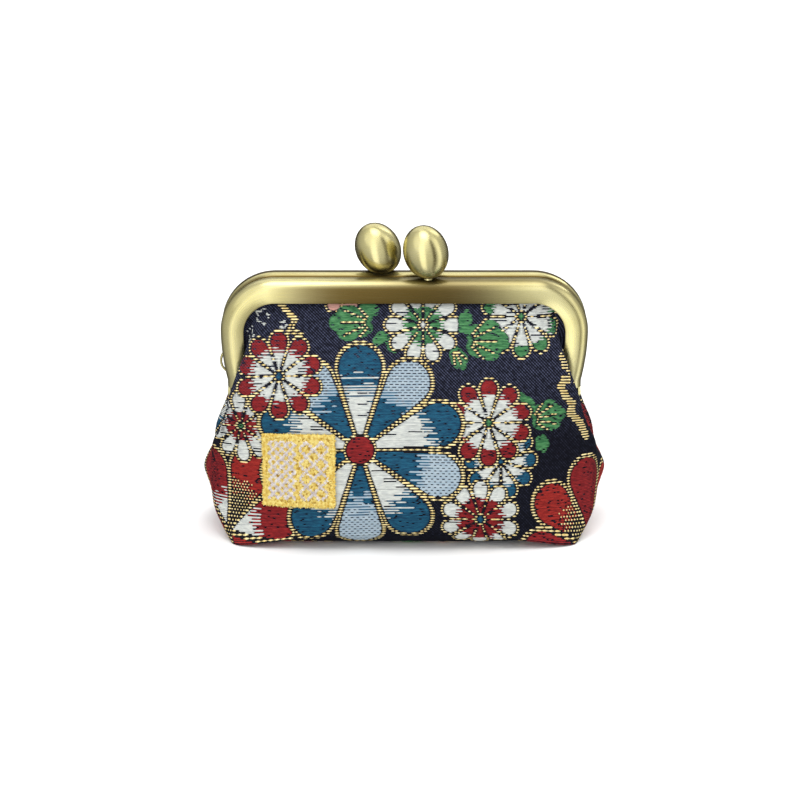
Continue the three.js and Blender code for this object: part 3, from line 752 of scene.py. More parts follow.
# The motifs in the order that they cover each other, at u right of the middle and v down from the top edge
MOTIFS = [
    (band, dict(points=[(41.2, 16.0), (38.9, 17.8), (39.6, 20.0), (41.8, 21.6)], width=2.2, colour=RIBBON)),
    (band, dict(points=[(42.2, 22.8), (39.4, 23.0), (38.5, 24.8), (39.8, 27.4), (41.4, 29.2)], width=2.2,
                colour=RIBBON)),
    (band, dict(points=[(41.4, 29.2), (41.2, 31.8), (44.0, 34.6), (46.4, 38.8)], width=2.4, colour=RIBBON)),
    (band, dict(points=[(-30.4, 5.0), (-26.9, 8.9), (-28.2, 11.7), (-25.3, 12.4)], width=1.9)),
    (blossom, dict(at=(-35.0, 8.2), radius=1.5)),
    (blossom, dict(at=(-38.9, 12.6), radius=1.4)),
    (blossom, dict(at=(-29.7, 10.1), radius=0.7)),
    (band, dict(points=[(43.6, 24.4), (43.9, 25.0)], width=0.7, colour=WHITE)),
    (band, dict(points=[(44.0, 28.0), (44.4, 28.6)], width=0.6, colour=WHITE)),
    (flower, dict(at=(-15.4, 1.6), radius=6.6, turn=-118, split=0.3, petals=6, core=PINK, **PINK_WHITE)),
    (leaf, dict(at=(-3.2, 15.2), length=2.2, width=1.4, turn=-60, veins=0)),
    (leaf, dict(at=(-5.9, 13.4), length=2.4, width=1.5, turn=40, veins=0)),
    (leaf, dict(at=(-8.6, 6.2), length=2.6, width=1.9, turn=160, veins=0)),
    (leaf, dict(at=(-12.9, 9.6), length=5.6, width=4.5, turn=180)),
    (flower, dict(at=(28.6, 8.5), radius=10.4, turn=90, split=0.7, **GREEN_WHITE)),
    (flower, dict(at=(4.5, 10.3), radius=9.9, turn=72, split=0.5, **WHITE_GREEN)),
    (leaf, dict(at=(14.8, 9.4), length=3.2, width=1.8, turn=80, veins=0)),
    (leaf, dict(at=(20.0, 14.0), length=5.4, width=5.0, turn=0)),
    (leaf, dict(at=(13.2, 18.4), length=3.0, width=2.2, turn=-60, veins=1)),
    (leaf, dict(at=(29.4, 29.2), length=3.6, width=2.2, turn=-40, veins=0)),
    (leaf, dict(at=(34.3, 39.6), length=2.4, width=1.9, turn=-70, veins=0)),
    (leaf, dict(at=(35.4, 32.4), length=4.6, width=4.2, turn=12)),
    (flower, dict(at=(-45.1, 60.8), radius=21.6, turn=66, petals=7, split=0.34, inners=(RED, WHITE),
                  **CORNER_BLOOM)),
    (seeds, dict(at=(-45.1, 60.8), reach=12.0, turn=66, spread=21)),
    (flower, dict(at=(48.8, 63.7), radius=20.8, turn=141, petals=8, split=0.2, inners=(RED, CRIMSON),
                  **CORNER_BLOOM)),
    (seeds, dict(at=(48.8, 63.7), reach=10.4, turn=141, spread=19)),
    (flower, dict(at=(-40.9, 35.6), radius=9.8, turn=90, split=0.44, core=GREEN, **WHITE_RED)),
    (flower, dict(at=(23.7, 43.3), radius=9.8, turn=72, **TEAL_WHITE)),
    (flower, dict(at=(18.6, 57.7), radius=10.2, turn=90, split=0.58, core=TEAL, core_size=0.08, **WHITE_RED)),
    (flower, dict(at=(20.6, 34.0), radius=11.2, turn=90, core=GREEN, **RED_WHITE)),
    (flower, dict(at=(-10.9, 41.1), radius=26.8, turn=90, line=BIG_LINE, core_size=0.126, **TEAL_BLOOM)),
    (flower, dict(at=(-30.8, 22.5), radius=11.2, turn=90, split=0.58, core=TEAL, **RED_WHITE)),
    (flower, dict(at=(-24.0, 78.5), radius=11.5, turn=90, core=TEAL, **RED_WHITE)),
    (leaf, dict(at=(0.5, 71.6), length=4.6, width=3.4, turn=20)),
    (flower, dict(at=(9.5, 76.5), radius=8.0, turn=90, core=CRIMSON, **PINK_WHITE)),
    (flower, dict(at=(54.5, 27.0), radius=8.6, turn=90, split=0.55, **WHITE_GREEN)),
    (flower, dict(at=(-54.5, 27.0), radius=8.6, turn=90, core=GREEN, **RED_WHITE)),
]
REPEAT_U, REPEAT_V = 124.0, 88.0
BACK_SHIFT = (25.0, -9.0)
SELVAGE, TOP_BARE = 0.5, 3

# In odd rows pale silk lies in bricks, closer together below a line, and white silk has bare stretches
BRICK, BRICK_LINE, BRICK_ABOVE, BRICK_BELOW = 1.4, 44, 0.34, 0.6
BARE_LENGTH, BARE_SHARE = 3.0, 0.08
TIES, TIE_STEPS = 3200, 4


def moved(facts, du, dv):
    """A motif's facts at another place on the cloth."""
    if "at" in facts:
        return {**facts, "at": (facts["at"][0] + du, facts["at"][1] + dv)}
    return {**facts, "points": [(u + du, v + dv) for u, v in facts["points"]]}


def draw_pattern(shift):
    """The colours of the whole panel, from motifs that are shifted and repeated over it."""
    drawing = np.zeros((len(DRAW_V), len(DRAW_U)), np.uint8)
    for shape, facts in MOTIFS:
        for du in (-REPEAT_U, 0, REPEAT_U):
            for dv in (-REPEAT_V, 0, REPEAT_V):
                shape(drawing, **moved(facts, shift[0] + du, shift[1] + dv))
    bind(drawing)
    row = DRAW_ROWS[:, None]
    odd = row % 2 == 1
    closeness = np.where(DRAW_V > BRICK_LINE, BRICK_BELOW, BRICK_ABOVE)[:, None]
    brick = (DRAW_U[None, :] / BRICK + (row // 2 % 2) / 2) % 1 < closeness
    bare = chance(np.s_[:, :], BARE_LENGTH) < BARE_SHARE
    drawing[odd & np.isin(drawing, (GOLD, RIBBON))] = INK
    drawing[odd & (drawing == PALE) & ~brick] = GROUND
    drawing[odd & (drawing == WHITE) & bare] = GROUND
    beyond = np.abs(DRAW_U)[None, :] > REACH[:, None] - SELVAGE
    drawing[beyond | (DRAW_V < TOP_BARE)[:, None]] = GROUND
    return drawing


def bind(drawing):
    """Scattered short gaps where the ground's warp ties the silk down."""
    rows, columns = drawing.shape
    row, column = rng.integers(0, rows, TIES), rng.integers(0, columns - TIE_STEPS, TIES)
    for k in range(TIE_STEPS):
        silk = np.isin(drawing[row, column + k], (TEAL, CRIMSON, RED, GREEN))
        drawing[row, column + k] = np.where(silk, GROUND, drawing[row, column + k])


# The strands

SHORTEST, SHORT, RING_STEP, TAPER = 0.3, 1.8, 2.6, 0.35
BEAD, DASH, LONG_GOLD = 1.0, 1.7, 1.9
DASH_GAP, DASH_GAP_SHARE = 0.12, 0.3
ROW_WANDER, STRAND_WIDTHS = 0.02, (0.92, 1.05)
END_WIDTH, END_DROP, FOOT_DROP = 0.5, 0.7, 1.1
THREAD_WIDTHS, PLAIN_WIDTH = {PALE: 1.45, WHITE: 1.12, GOLD: 1.32}, 0.99


def stretches(drawing, colour):
    """The row and both ends, along u, of each stretch of one colour."""
    edge = np.zeros((drawing.shape[0], 1), np.int8)
    change = np.diff(np.concatenate([edge, drawing == colour, edge], axis=1).astype(np.int8), axis=1)
    rows, starts = np.nonzero(change == 1)
    ends = np.nonzero(change == -1)[1]
    kept = (ends - starts) * DRAW_STEP >= SHORTEST
    return rows[kept], starts[kept] * DRAW_STEP - U_LIMIT, ends[kept] * DRAW_STEP - U_LIMIT


def in_dashes(rows, starts, ends):
    """Stretches cut into dashes with small gaps, each row's cuts at another place."""
    whole = ends - starts
    counts = np.maximum(np.round(whole / np.where(whole < LONG_GOLD, BEAD, DASH)), 1).astype(int)
    number = np.concatenate([np.arange(n) for n in counts])
    length = np.repeat(whole / counts, counts)
    begin = np.repeat(starts, counts) + number * length
    cut = np.minimum(DASH_GAP, DASH_GAP_SHARE * length) * (np.repeat(counts, counts) > 1)
    return np.repeat(rows, counts), begin + cut / 2, begin + length - cut / 2


def strand_mesh(u, v, half, crest, foot):
    """Closed strands through rows of places on the cloth: a foot's width to both sides, and a crest between.
    Their flat places come with them."""
    run = unit(np.stack([np.gradient(u, axis=1), np.gradient(v, axis=1)], -1))
    side_u, side_v = -run[..., 1] * half, run[..., 0] * half
    flat = np.stack([np.stack([u + k * side_u, v + k * side_v], -1) for k in (-1, 0, 1)], axis=2)
    lift = np.stack([foot, crest, foot], axis=2)
    vertices = on_cloth(flat[..., 0], flat[..., 1], lift).reshape(-1, 3)
    count, rings = u.shape
    start = np.arange(count) * rings * 3
    end = start + (rings - 1) * 3
    first = (start[:, None] + np.arange(rings - 1) * 3).ravel()
    edges = ((0, 1), (1, 2), (2, 0))
    quads = [np.stack([first + a, first + b, first + 3 + b, first + 3 + a], -1) for a, b in edges]
    caps = [np.stack([start, start + 2, start + 1], -1), np.stack([end, end + 1, end + 2], -1)]
    return vertices, [np.concatenate(quads), np.concatenate(caps)], flat.reshape(-1, 2)


def weft_strands(rows, starts, ends, width):
    """Strands along weft rows, with more rings in longer ones, all as one mesh with its flat places."""
    length = ends - starts
    rings = np.where(length < SHORT, 3, 4 + (length / RING_STEP).astype(int))
    parts, flats = [], []
    for count in np.unique(rings):
        pick = rings == count
        n = int(pick.sum())
        if count == 3:
            share = np.tile([0.0, 0.5, 1.0], (n, 1))
        else:
            taper = (TAPER / length[pick])[:, None]
            middle = taper + (1 - 2 * taper) * np.linspace(0, 1, count - 2)[None, :]
            share = np.concatenate([np.zeros((n, 1)), middle, np.ones((n, 1))], axis=1)
        ends_only = (share == 0) | (share == 1)
        u = starts[pick][:, None] + share * length[pick][:, None]
        v = (DRAW_V[rows[pick]] + rng.uniform(-ROW_WANDER, ROW_WANDER, n))[:, None] + 0 * u
        half = width / 2 * rng.uniform(*STRAND_WIDTHS, n)[:, None] * np.where(ends_only, END_WIDTH, 1.0)
        crest = np.where(ends_only, END_DROP, 0.0) * -STRAND_RISE
        vertices, faces, flat = strand_mesh(u, v, half, crest, np.full_like(u, -FOOT_DROP * STRAND_RISE))
        parts.append((vertices, faces))
        flats.append(flat)
    vertices, faces = joined(parts)
    return vertices, faces, np.concatenate(flats)


def woven_threads(name, side, shift):
    """All of one panel's pattern threads, one piece for each colour."""
    drawing = draw_pattern(shift)
    pieces = []
    for colour, material in THREADS.items():
        rows, starts, ends = stretches(drawing, colour)
        if not len(rows):
            continue
        width = WEFT * THREAD_WIDTHS.get(colour, PLAIN_WIDTH)
        if colour == GOLD:
            whole = stretches(drawing, RIBBON)
            rows, starts, ends = (np.concatenate(both) for both in zip(in_dashes(rows, starts, ends), whole))
        vertices, faces, flat = weft_strands(rows, starts, ends, width)
        slot = "gold_thread" if colour == GOLD else "brocade"
        piece = mesh_piece(
            f"{name}_{material.name}", facing(vertices, side), faces, [material], slot, sharp=100)
        add_uv(piece, "OFBake", flat / (2 * U_LIMIT) + (0.5, 0.1))
        pieces.append(piece)
    return pieces


front_cloth = cloth_panel("front_cloth", FRONT, "front_panel")
back_cloth = cloth_panel("back_cloth", BACK, "back_panel")
for cloth, name, side, shift in (
    (front_cloth, "front", FRONT, (0.0, 0.0)),
    (back_cloth, "back", BACK, BACK_SHIFT),
):
    threads = woven_threads(name, side, shift)


# The brass frame

# How much darker the brass is painted: painted shade in the groove between the halves and along the lip,
# painted dark reflections on the back half's far edge, over the middle of the face and along the ridge,
# evenly darker towards the left, and darker on the bevel
GROOVE_FADE = (0.8, 1.4)
BROW_DARK, BROW_FROM, BROW_FADE = 0.95, (1.6, 2.1), (0.4, 1.2)
LIP_DARK, LIP_FADE = 0.6, 0.35
MIDDLE_DARK, MIDDLE_X, MIDDLE_FADE = 0.98, -2.5, 30.5
RIDGE_DARK, RIDGE_X = (0.0, 0.5, 0.88, 0.65), (-34.0, -14.0, 8.0, 40.0)
RIDGE_SHARE, LEG_SHARE = {FRONT: 1.0, BACK: 0.3}, 0.6
FACE_FROM, FACE_TO = 0.7, 1.7
EVEN_DARK, EVEN_X = (0.33, 0.0), (-40.0, 40.0)
BEVEL_DARK, BEVEL_FADE = 0.2, 1.5
# Plain brass and the wire loop are a little darker all over; the hinge tabs are painted dark, as painted
# shade
PLAIN_DARK, LOOP_DARK, TAB_DARK = 0.2, 0.45, 0.9


def arc(centre, radius, start, end, steps):
    angles = np.radians(np.linspace(start, end, steps + 1))
    return np.stack([centre[0] + radius * np.cos(angles), centre[1] + radius * np.sin(angles)], -1)


def channel_profile():
    """The channel's section: first number inwards from its roof, second away from the other half."""
    lip = CHANNEL_DEPTH - LIP_LEAN
    t = np.linspace(0, 1, 9)[1:, None]
    start, end = (SHOULDER, CHANNEL_DEPTH), (CHANNEL_WIDTH, lip)
    pull = ((SHOULDER + CHANNEL_WIDTH) / 2, CHANNEL_DEPTH)
    face = np.multiply((1 - t) ** 2, start) + np.multiply(2 * t * (1 - t), pull) + np.multiply(t**2, end)
    outer = np.concatenate([
        [(CHANNEL_WIDTH, 0.0)],
        arc((RIDGE, RIDGE), RIDGE, 270, 180, 8),
        arc((SHOULDER, CHANNEL_DEPTH - SHOULDER), SHOULDER, 180, 90, 10),
        face,
    ])
    inner = np.concatenate([
        [(CHANNEL_WIDTH, lip - SHEET)],
        arc((SHOULDER, CHANNEL_DEPTH - SHOULDER), SHOULDER - SHEET, 90, 180, 6),
        arc((RIDGE, RIDGE), RIDGE - SHEET, 180, 270, 6),
        [(CHANNEL_WIDTH, SHEET)],
    ])
    return np.concatenate([outer, inner])


def frame_path():
    """Places along the frame's outline, from the right leg's end over the top to the left leg's, with the
    angle of the outline's outward normal at each. The legs bend in below the round corners."""
    bend = np.linspace(1, 0, 17)
    drop, inset = CORNER_Z - KNEE_Z, HALF_WIDTH - KNEE_X
    lean = -np.arctan(2 * inset / drop * bend)
    leg = np.stack([HALF_WIDTH - inset * bend**2, CORNER_Z - drop * bend, lean], -1)
    foot = np.array([(KNEE_X, LEG_END, 0.0), (KNEE_X, (LEG_END + KNEE_Z) / 2, leg[0, 2] / 2)])
    angles = np.linspace(0, math.pi / 2, 29)[1:]
    corner = np.stack([CORNER_X + CORNER * np.cos(angles), CORNER_Z + CORNER * np.sin(angles), angles], -1)
    across = np.linspace(CORNER_X, 0, 13)[1:]
    roof = np.stack([across, np.full_like(across, TOP), np.full_like(across, math.pi / 2)], -1)
    right = np.concatenate([foot, leg, corner, roof])
    left = right[-2::-1] * (-1, 1, -1) + (0, 0, math.pi)
    return np.concatenate([right, left])


def brushed(body, brush=None, run=(1, 0, 0), shade_and_tarnish=PLAIN_DARK):
    """A body of brass with its brushing: coordinates that change slowly along it, its direction, and how much
    darker it is painted, for tarnish and for painted shade."""
    vertices, faces = body
    count = len(vertices)
    run = np.broadcast_to(run, (count, 3))
    return vertices, faces, vertices if brush is None else brush, run, np.broadcast_to(shade_and_tarnish, count)


def channel_shade_and_tarnish(side, x, angle, a, b):
    """How much darker the channel is painted, at places along it and round its section: painted shade in the
    groove and along the lip, painted dark reflections on the far edge, the middle and the ridge, and even
    darkening.
    """
    # painted shade in the groove between the halves
    groove = np.interp(b, GROOVE_FADE, (1, 0))
    # painted dark reflection along the back half's far edge
    brow = BROW_DARK * (side == BACK) * np.interp(b, BROW_FROM, (0, 1)) * np.interp(a, BROW_FADE, (1, 0))
    # painted shade along the lip
    lip = LIP_DARK * np.exp(-(((CHANNEL_WIDTH - a) / LIP_FADE) ** 2))
    bevel = BEVEL_DARK * np.exp(-(((CHANNEL_WIDTH - a) / BEVEL_FADE) ** 4))
    # painted dark reflections over the middle of the face and along the ridge, blended across the face
    middle = MIDDLE_DARK * np.exp(-np.abs((x - MIDDLE_X) / MIDDLE_FADE) ** 5)
    ridge = RIDGE_SHARE[side] * np.interp(x, RIDGE_X, RIDGE_DARK) * np.maximum(np.sin(angle) ** 2, LEG_SHARE)
    painted_reflection = ridge + np.interp(a, (FACE_FROM, FACE_TO), (0, 1)) * (middle - ridge)
    even = np.interp(x, EVEN_X, EVEN_DARK)
    return np.maximum.reduce(np.broadcast_arrays(groove, brow, lip, bevel, painted_reflection, even))


def channel(side):
    """One half's channel, brushed along its length."""
    profile, path = channel_profile(), frame_path()
    x, z, angle = (path[:, None, k] for k in range(3))
    a, b = profile[None, :, 0], profile[None, :, 1]
    shut = np.where((a == CHANNEL_WIDTH) & (b <= SHEET), SHUT_LEAN, 0)
    rings = np.stack([x - a * np.cos(angle), side * (GAP / 2 + b) + shut + 0 * x, z - a * np.sin(angle)], -1)
    along = np.concatenate([[0.0], np.cumsum(np.hypot(*np.diff(path[:, :2], axis=0).T))])
    across = np.concatenate([[0.0], np.cumsum(np.hypot(*np.diff(profile, axis=0).T))])
    shade_and_tarnish = channel_shade_and_tarnish(side, x, angle, a, b)
    values = np.broadcast_arrays(
        along[:, None], across[None, :], 0.0, -np.sin(angle), 0.0, np.cos(angle), shade_and_tarnish)
    table = np.stack(values, -1).reshape(-1, len(values))
    table = np.concatenate([table, table[:1], table[-1:]])
    return brushed(turned_out(*swept(rings)), table[:, :3], table[:, 3:6], table[:, 6])


def extruded(outline, x_from, x_to):
    """A plate from an outline in Y and Z, between two places in X."""
    rings = np.stack([np.column_stack([np.full(len(outline), x), outline]) for x in (x_from, x_to)])
    return turned_out(*swept(rings))


def hinge_tab(side, hand):
    """The flat ear below a leg, round at its end, that the hinge pin goes through."""
    outline = np.concatenate([
        [(TAB_FAR, TAB_TOP), (TAB_NEAR, TAB_TOP)],
        arc((0, HINGE_Z), TAB_RADIUS, *TAB_EAR, 18),
        [(TAB_CORNER_Y, HINGE_Z - TAB_CORNER_DROP), (TAB_FAR, HINGE_Z + TAB_CORNER_RISE)],
    ])
    outline[:, 0] *= side
    return extruded(outline, hand * TAB_X[side], hand * (TAB_X[side] + TAB_THICK))


def wire(points, radius):
    """A round wire along points in one upright plane across Y."""
    run = unit(np.gradient(points, axis=0))
    out = np.cross(run, (0, 1, 0))
    turn = np.radians(np.arange(0, 360, 30))
    ring = out[:, None] * np.cos(turn)[None, :, None] + np.array((0, 1, 0)) * np.sin(turn)[None, :, None]
    return turned_out(*swept(points[:, None] + radius * ring))


def strap_loop():
    """The small wire loop on the outside of the back half's left leg."""
    wall = KNEE_X + (LOOP_Z - KNEE_Z) * (HALF_WIDTH - KNEE_X) / (CORNER_Z - KNEE_Z)
    angle = np.linspace(0, math.pi, 25)
    out = (LOOP_REACH + LOOP_ROOT) * np.sin(angle) - LOOP_ROOT
    height = LOOP_Z + LOOP_HALF_HEIGHT * np.cos(angle)
    return wire(np.stack([-(wall + out), 0 * out + BACK * MIDDLE_Y, height], -1), LOOP_WIRE)


def brass_piece(name, bodies, node):
    """A piece of brass from several brushed bodies."""
    vertices, faces = joined([body[:2] for body in bodies])
    piece = mesh_piece(name, vertices, faces, [brass], "brass", [node], sharp=35)
    brush, run, shade_and_tarnish = (np.concatenate([body[k] for body in bodies]) for k in (2, 3, 4))
    add_attribute(piece, "brush", brush, "FLOAT_VECTOR", "vector")
    add_attribute(piece, "run", run, "FLOAT_VECTOR", "vector")
    # how much darker the brass is painted, for tarnish, painted shade and painted dark reflections
    add_attribute(piece, "shade_and_tarnish", shade_and_tarnish)


for name, side, node in (("clasp_front", FRONT, "front_frame"), ("clasp_back", BACK, "back_frame")):
    bodies = [channel(side)] + [brushed(hinge_tab(side, hand), shade_and_tarnish=TAB_DARK) for hand in (-1, 1)]
    if side == BACK:
        bodies.append(brushed(strap_loop(), shade_and_tarnish=LOOP_DARK))
    brass_piece(name, bodies, node)


# The knobs and hinge pins

# The knobs are a little darker all over, with painted shade round the foot where each meets the frame's roof
KNOB_DARK, FOOT_DARK, FOOT_FADE = 0.29, 0.75, 0.9


def lathed(profile, steps):
    """A body turned round Z from (radius, height) points that start and end on the axis."""
    angle = np.radians(np.arange(steps) * 360 / steps)
    radius, height = np.array(profile[1:-1]).T[:, :, None]
    rings = np.stack([radius * np.cos(angle), radius * np.sin(angle), height + 0 * angle], -1)
    vertices, faces = swept(rings)
    vertices[-2:] = [(0, 0, profile[0][1]), (0, 0, profile[-1][1])]
    return turned_out(vertices, faces)


def knob(side, foot_x, lean_x, lean_back, cut):
    """A leaning egg with a flat foot, brushed round its axis, and a spigot in the frame's roof."""
    foot = np.array((foot_x, side * MIDDLE_Y, TOP + GAP))
    axis = np.array((math.sin(math.radians(lean_x)), math.sin(math.radians(lean_back)), 0.0))
    axis[2] = math.sqrt(1 - axis @ axis)
    stretch = (KNOB_HEIGHT / 2) ** 2 - KNOB_RADIUS**2
    rise = math.sqrt(KNOB_RADIUS**2 + stretch * axis[2] ** 2)
    centre = foot + axis * stretch * axis[2] / rise + (0, 0, KNOB_RADIUS**2 / rise - cut)
    t = np.linspace(0, math.pi, 81)
    ball, faces = lathed(np.stack([np.sin(t), -np.cos(t)], -1), 96)
    egg = ball * (KNOB_RADIUS, KNOB_RADIUS, KNOB_HEIGHT / 2)
    turn = np.array(Vector((0, 0, 1)).rotation_difference(Vector(axis)).to_matrix())
    placed = egg @ turn.T + centre
    placed[:, 2] = np.maximum(placed[:, 2], foot[2])
    run = unit(np.cross(axis, placed - centre) + (1e-3, 0, 0))
    # painted shade round the foot
    shade_and_tarnish = np.maximum(KNOB_DARK, FOOT_DARK * np.exp(-(((placed[:, 2] - foot[2]) / FOOT_FADE) ** 2)))
    roof = TOP - SHEET + SPIGOT_STOP
    spigot = lathed([(0, roof), (KNOB_SPIGOT, roof), (KNOB_SPIGOT, centre[2]), (0, centre[2])], 32)
    return [
        brushed((placed, faces), egg[:, [0, 2, 1]], run, shade_and_tarnish),
        brushed((spigot[0] + (foot[0], foot[1], 0), spigot[1])),
    ]


for name, facts in KNOBS.items():
    brass_piece(f"brass_{name}", knob(**facts), name)


def hinge_pin(hand):
    """A pin with a flat head at each end, through both tabs."""
    inside, outside = TAB_X[BACK] - GAP, TAB_X[FRONT] + TAB_THICK + GAP
    low, high = inside - PIN_HEAD_THICK, outside + PIN_HEAD_THICK
    profile = [
        (0, low), (PIN_HEAD, low), (PIN_HEAD, inside), (PIN_RADIUS, inside),
        (PIN_RADIUS, outside), (PIN_HEAD, outside), (PIN_HEAD_TOP, high), (0, high)]
    vertices, faces = lathed(profile, 24)
    return turned_out(vertices[:, [2, 1, 0]] * (hand, 1, 1) + (0, 0, HINGE_Z), faces)


for name, hand in (("left", -1), ("right", 1)):
    brass_piece(f"brass_{name}_pin", [brushed(hinge_pin(hand))], f"{name}_hinge_pin")


# The gold patch: a backing that follows the cloth, under scattered stitches, a border and a trellis

PATCH_U, PATCH_V = (-35.2, -16.9), (36.9, 54.6)
PATCH_LOW, PATCH_TOP, PATCH_STEPS = 0.3, 0.85, 36
EDGE_WIDTH, EDGE_DROP = 0.1, 0.25
STITCH_PLACES, STITCH_PLUMP, STITCH_FOOT = (0.0, 0.25, 0.75, 1.0), (0.3, 1.0, 1.0, 0.3), 0.06
FILL_COUNT, FILL_INSET, FILL_REACH = 1900, 0.5, 0.45
BORDER, BORDER_REACH, BORDER_SLANT, FRAY = 1.3, (0.6, 1.1), 0.15, 0.4
BORDER_PITCH, BORDER_FIRST, BORDER_LAST = 0.42, 0.2, 0.1
SATIN_HALF, SATIN_PITCH, SATIN_WANDER, SATIN_REACH = 0.46, 0.22, 0.12, (0.7, 1.15)
TRELLIS_INSET, TRELLIS_GAP, FINE_PITCH, COARSE_PITCH = 0.4, 0.5, 2.2, 3.6
SPECKLE = (1700, 1700, 1700)
patch_ground = thread_material("patch_ground", (150, 118, 44), (176, 142, 60), 0.7, stretch=SPECKLE)
patch_gold = thread_material("patch_gold", (206, 170, 66), (238, 224, 144), 0.6, stretch=SPECKLE)
patch_pale = thread_material("patch_pale", (206, 198, 202), (248, 246, 246), 0.6, stretch=SPECKLE)


def patch_backing():
    """A thin pad with rounded edges under the stitches."""
    u, v = np.meshgrid(np.linspace(*PATCH_U, PATCH_STEPS + 1), np.linspace(*PATCH_V, PATCH_STEPS + 1))
    edge = np.minimum.reduce([u - PATCH_U[0], PATCH_U[1] - u, v - PATCH_V[0], PATCH_V[1] - v])
    top = on_cloth(u, v, PATCH_TOP - EDGE_DROP * (edge < EDGE_WIDTH))
    low = on_cloth(u, v, np.full_like(u, PATCH_LOW))
    index = np.arange(u.size).reshape(u.shape)
    loop = np.concatenate([index[0, :-1], index[:-1, -1], index[-1, :0:-1], index[:0:-1, 0]])
    after = np.roll(loop, -1)
    side = np.stack([loop, after, after + u.size, loop + u.size], -1)
    cells = grid_faces(index)
    return np.concatenate([top.reshape(-1, 3), low.reshape(-1, 3)]), [cells, cells[:, ::-1] + u.size, side]


def stitched(name, material, lines, half, rise):
    """A piece of short plump stitches between pairs of places on the patch."""
    start, end = (np.asarray(ends, float) for ends in lines)
    share, plump = np.array(STITCH_PLACES), np.array(STITCH_PLUMP)
    u = start[:, :1] + share * (end - start)[:, :1]
    v = start[:, 1:] + share * (end - start)[:, 1:]
    foot = np.full_like(u, PATCH_TOP - STITCH_FOOT)
    vertices, faces, _ = strand_mesh(u, v, half * plump + 0 * u, PATCH_TOP + rise * plump + 0 * u, foot)
    return mesh_piece(name, vertices, faces, [material], "gold_thread", sharp=100)


def scattered_lines():
    """Short lines scattered every way over the whole patch."""
    middles = np.stack([
        rng.uniform(low + FILL_INSET, high - FILL_INSET, FILL_COUNT) for low, high in (PATCH_U, PATCH_V)], -1)
    turn = rng.uniform(0, math.pi, FILL_COUNT)
    reach = FILL_REACH * np.stack([np.cos(turn), np.sin(turn)], -1)
    return middles - reach, middles + reach


def border_lines():
    """Lines square to the edge, all the way round the patch."""
    starts, ends = [], []
    for along, across, order in ((PATCH_U, PATCH_V, 1), (PATCH_V, PATCH_U, -1)):
        for place in np.arange(along[0] + BORDER_FIRST, along[1] - BORDER_LAST, BORDER_PITCH):
            for edge, inward in zip(across, (1, -1)):
                reach = BORDER * rng.uniform(*BORDER_REACH)
                starts.append((place, edge - inward * rng.uniform(0, FRAY))[::order])
                ends.append((place + BORDER_SLANT, edge + inward * reach)[::order])
    return starts, ends


def diagonals(left, right, top, bottom, pitch):
    """Evenly spaced lines that cross a rectangle both ways, at 45 degrees."""
    wide, tall = right - left, bottom - top
    lines = []
    for shift in np.arange(pitch / 2, wide + tall, pitch):
        near, far = max(0.0, shift - tall), min(shift, wide)
        lines.append(((left + near, top + shift - near), (left + far, top + shift - far)))
        lines.append(((right - near, top + shift - near), (right - far, top + shift - far)))
    return lines


def trellis_lines():
    """Satin lines in bars: a fine trellis on the left half and a coarser one on the right."""
    (left, right), (top, bottom) = (
        (low + BORDER + TRELLIS_INSET, high - BORDER - TRELLIS_INSET) for low, high in (PATCH_U, PATCH_V))
    middle = (left + right) / 2
    bars = diagonals(left, middle - TRELLIS_GAP, top, bottom, FINE_PITCH)
    bars += diagonals(middle + TRELLIS_GAP, right, top, bottom, COARSE_PITCH)
    starts, ends = [], []
    for bar in bars:
        a, b = np.array(bar)
        run = b - a
        length = math.hypot(*run)
        across = np.array((-run[1], run[0])) / length * SATIN_HALF
        for share in np.arange(0.5, length / SATIN_PITCH) * SATIN_PITCH / length:
            wander = rng.uniform(-SATIN_WANDER, SATIN_WANDER, 2)
            starts.append(a + run * share - across * rng.uniform(*SATIN_REACH) + wander)
            ends.append(a + run * share + across * rng.uniform(*SATIN_REACH) + wander)
    return starts, ends


backing = mesh_piece(
    "patch_backing", *patch_backing(), [patch_ground], "gold_thread", ["gold_patch"], sharp=70)
satin = stitched("patch_satin", patch_gold, scattered_lines(), half=0.24, rise=0.28)
border = stitched("patch_border", patch_gold, border_lines(), half=0.23, rise=0.26)
trellis = stitched("patch_trellis", patch_pale, trellis_lines(), half=0.18, rise=0.52)


# The studio: a white floor, a room that is bright in front and above, four soft suns, and cards for the brass

FLOOR_SIZE, FLOOR_GRAIN = 4.0, 8.0
FLOOR_TONES = [(0.0, (244, 244, 244)), (1.0, (249, 249, 249))]
ROOM_TILT = 40
ROOM_TONES = [(0.0, 0.08), (0.2, 0.14), (0.33, 0.5), (0.5, 0.7), (0.75, 0.92), (1.0, 0.92)]

# Each sun's degrees to the right of the front, degrees up, strength, and spread in degrees
SUNS = {
    "key": (-28, 45, 0.8, 80),
    "side": (80, 35, 0.15, 22),
    "top": (0, 82, 1.0, 40),
    "rear": (150, 40, 1.0, 40),
}

# Each card's degrees to the right of the front, width, foot and top in millimetres, and glow
CARD_DISTANCE = 300
CARDS = {
    "dark_card": (44, 90, -400, 500, (0.13, 0.11, 0.07)),
    "front_card": (-15, 160, -400, 500, (2.1, 2.1, 2.1)),
    "side_card": (73, 110, -400, 500, (1.7, 1.7, 1.7)),
    "rear_card": (180, 500, 200, 600, (1.4, 1.4, 1.4)),
    "low_rear_card": (180, 500, -200, 200, (0.05, 0.04, 0.02)),
}


def stage_plane(name, corners, material, hidden_from):
    """A flat piece of the studio, which some kinds of rays don't meet."""
    mesh = bpy.data.meshes.new(name)
    mesh.from_pydata(corners, [], [(0, 1, 2, 3)])
    mesh.materials.append(material)
    plane = bpy.data.objects.new(name, mesh)
    for rays in hidden_from:
        setattr(plane, f"visible_{rays}", False)
    bpy.context.scene.collection.objects.link(plane)


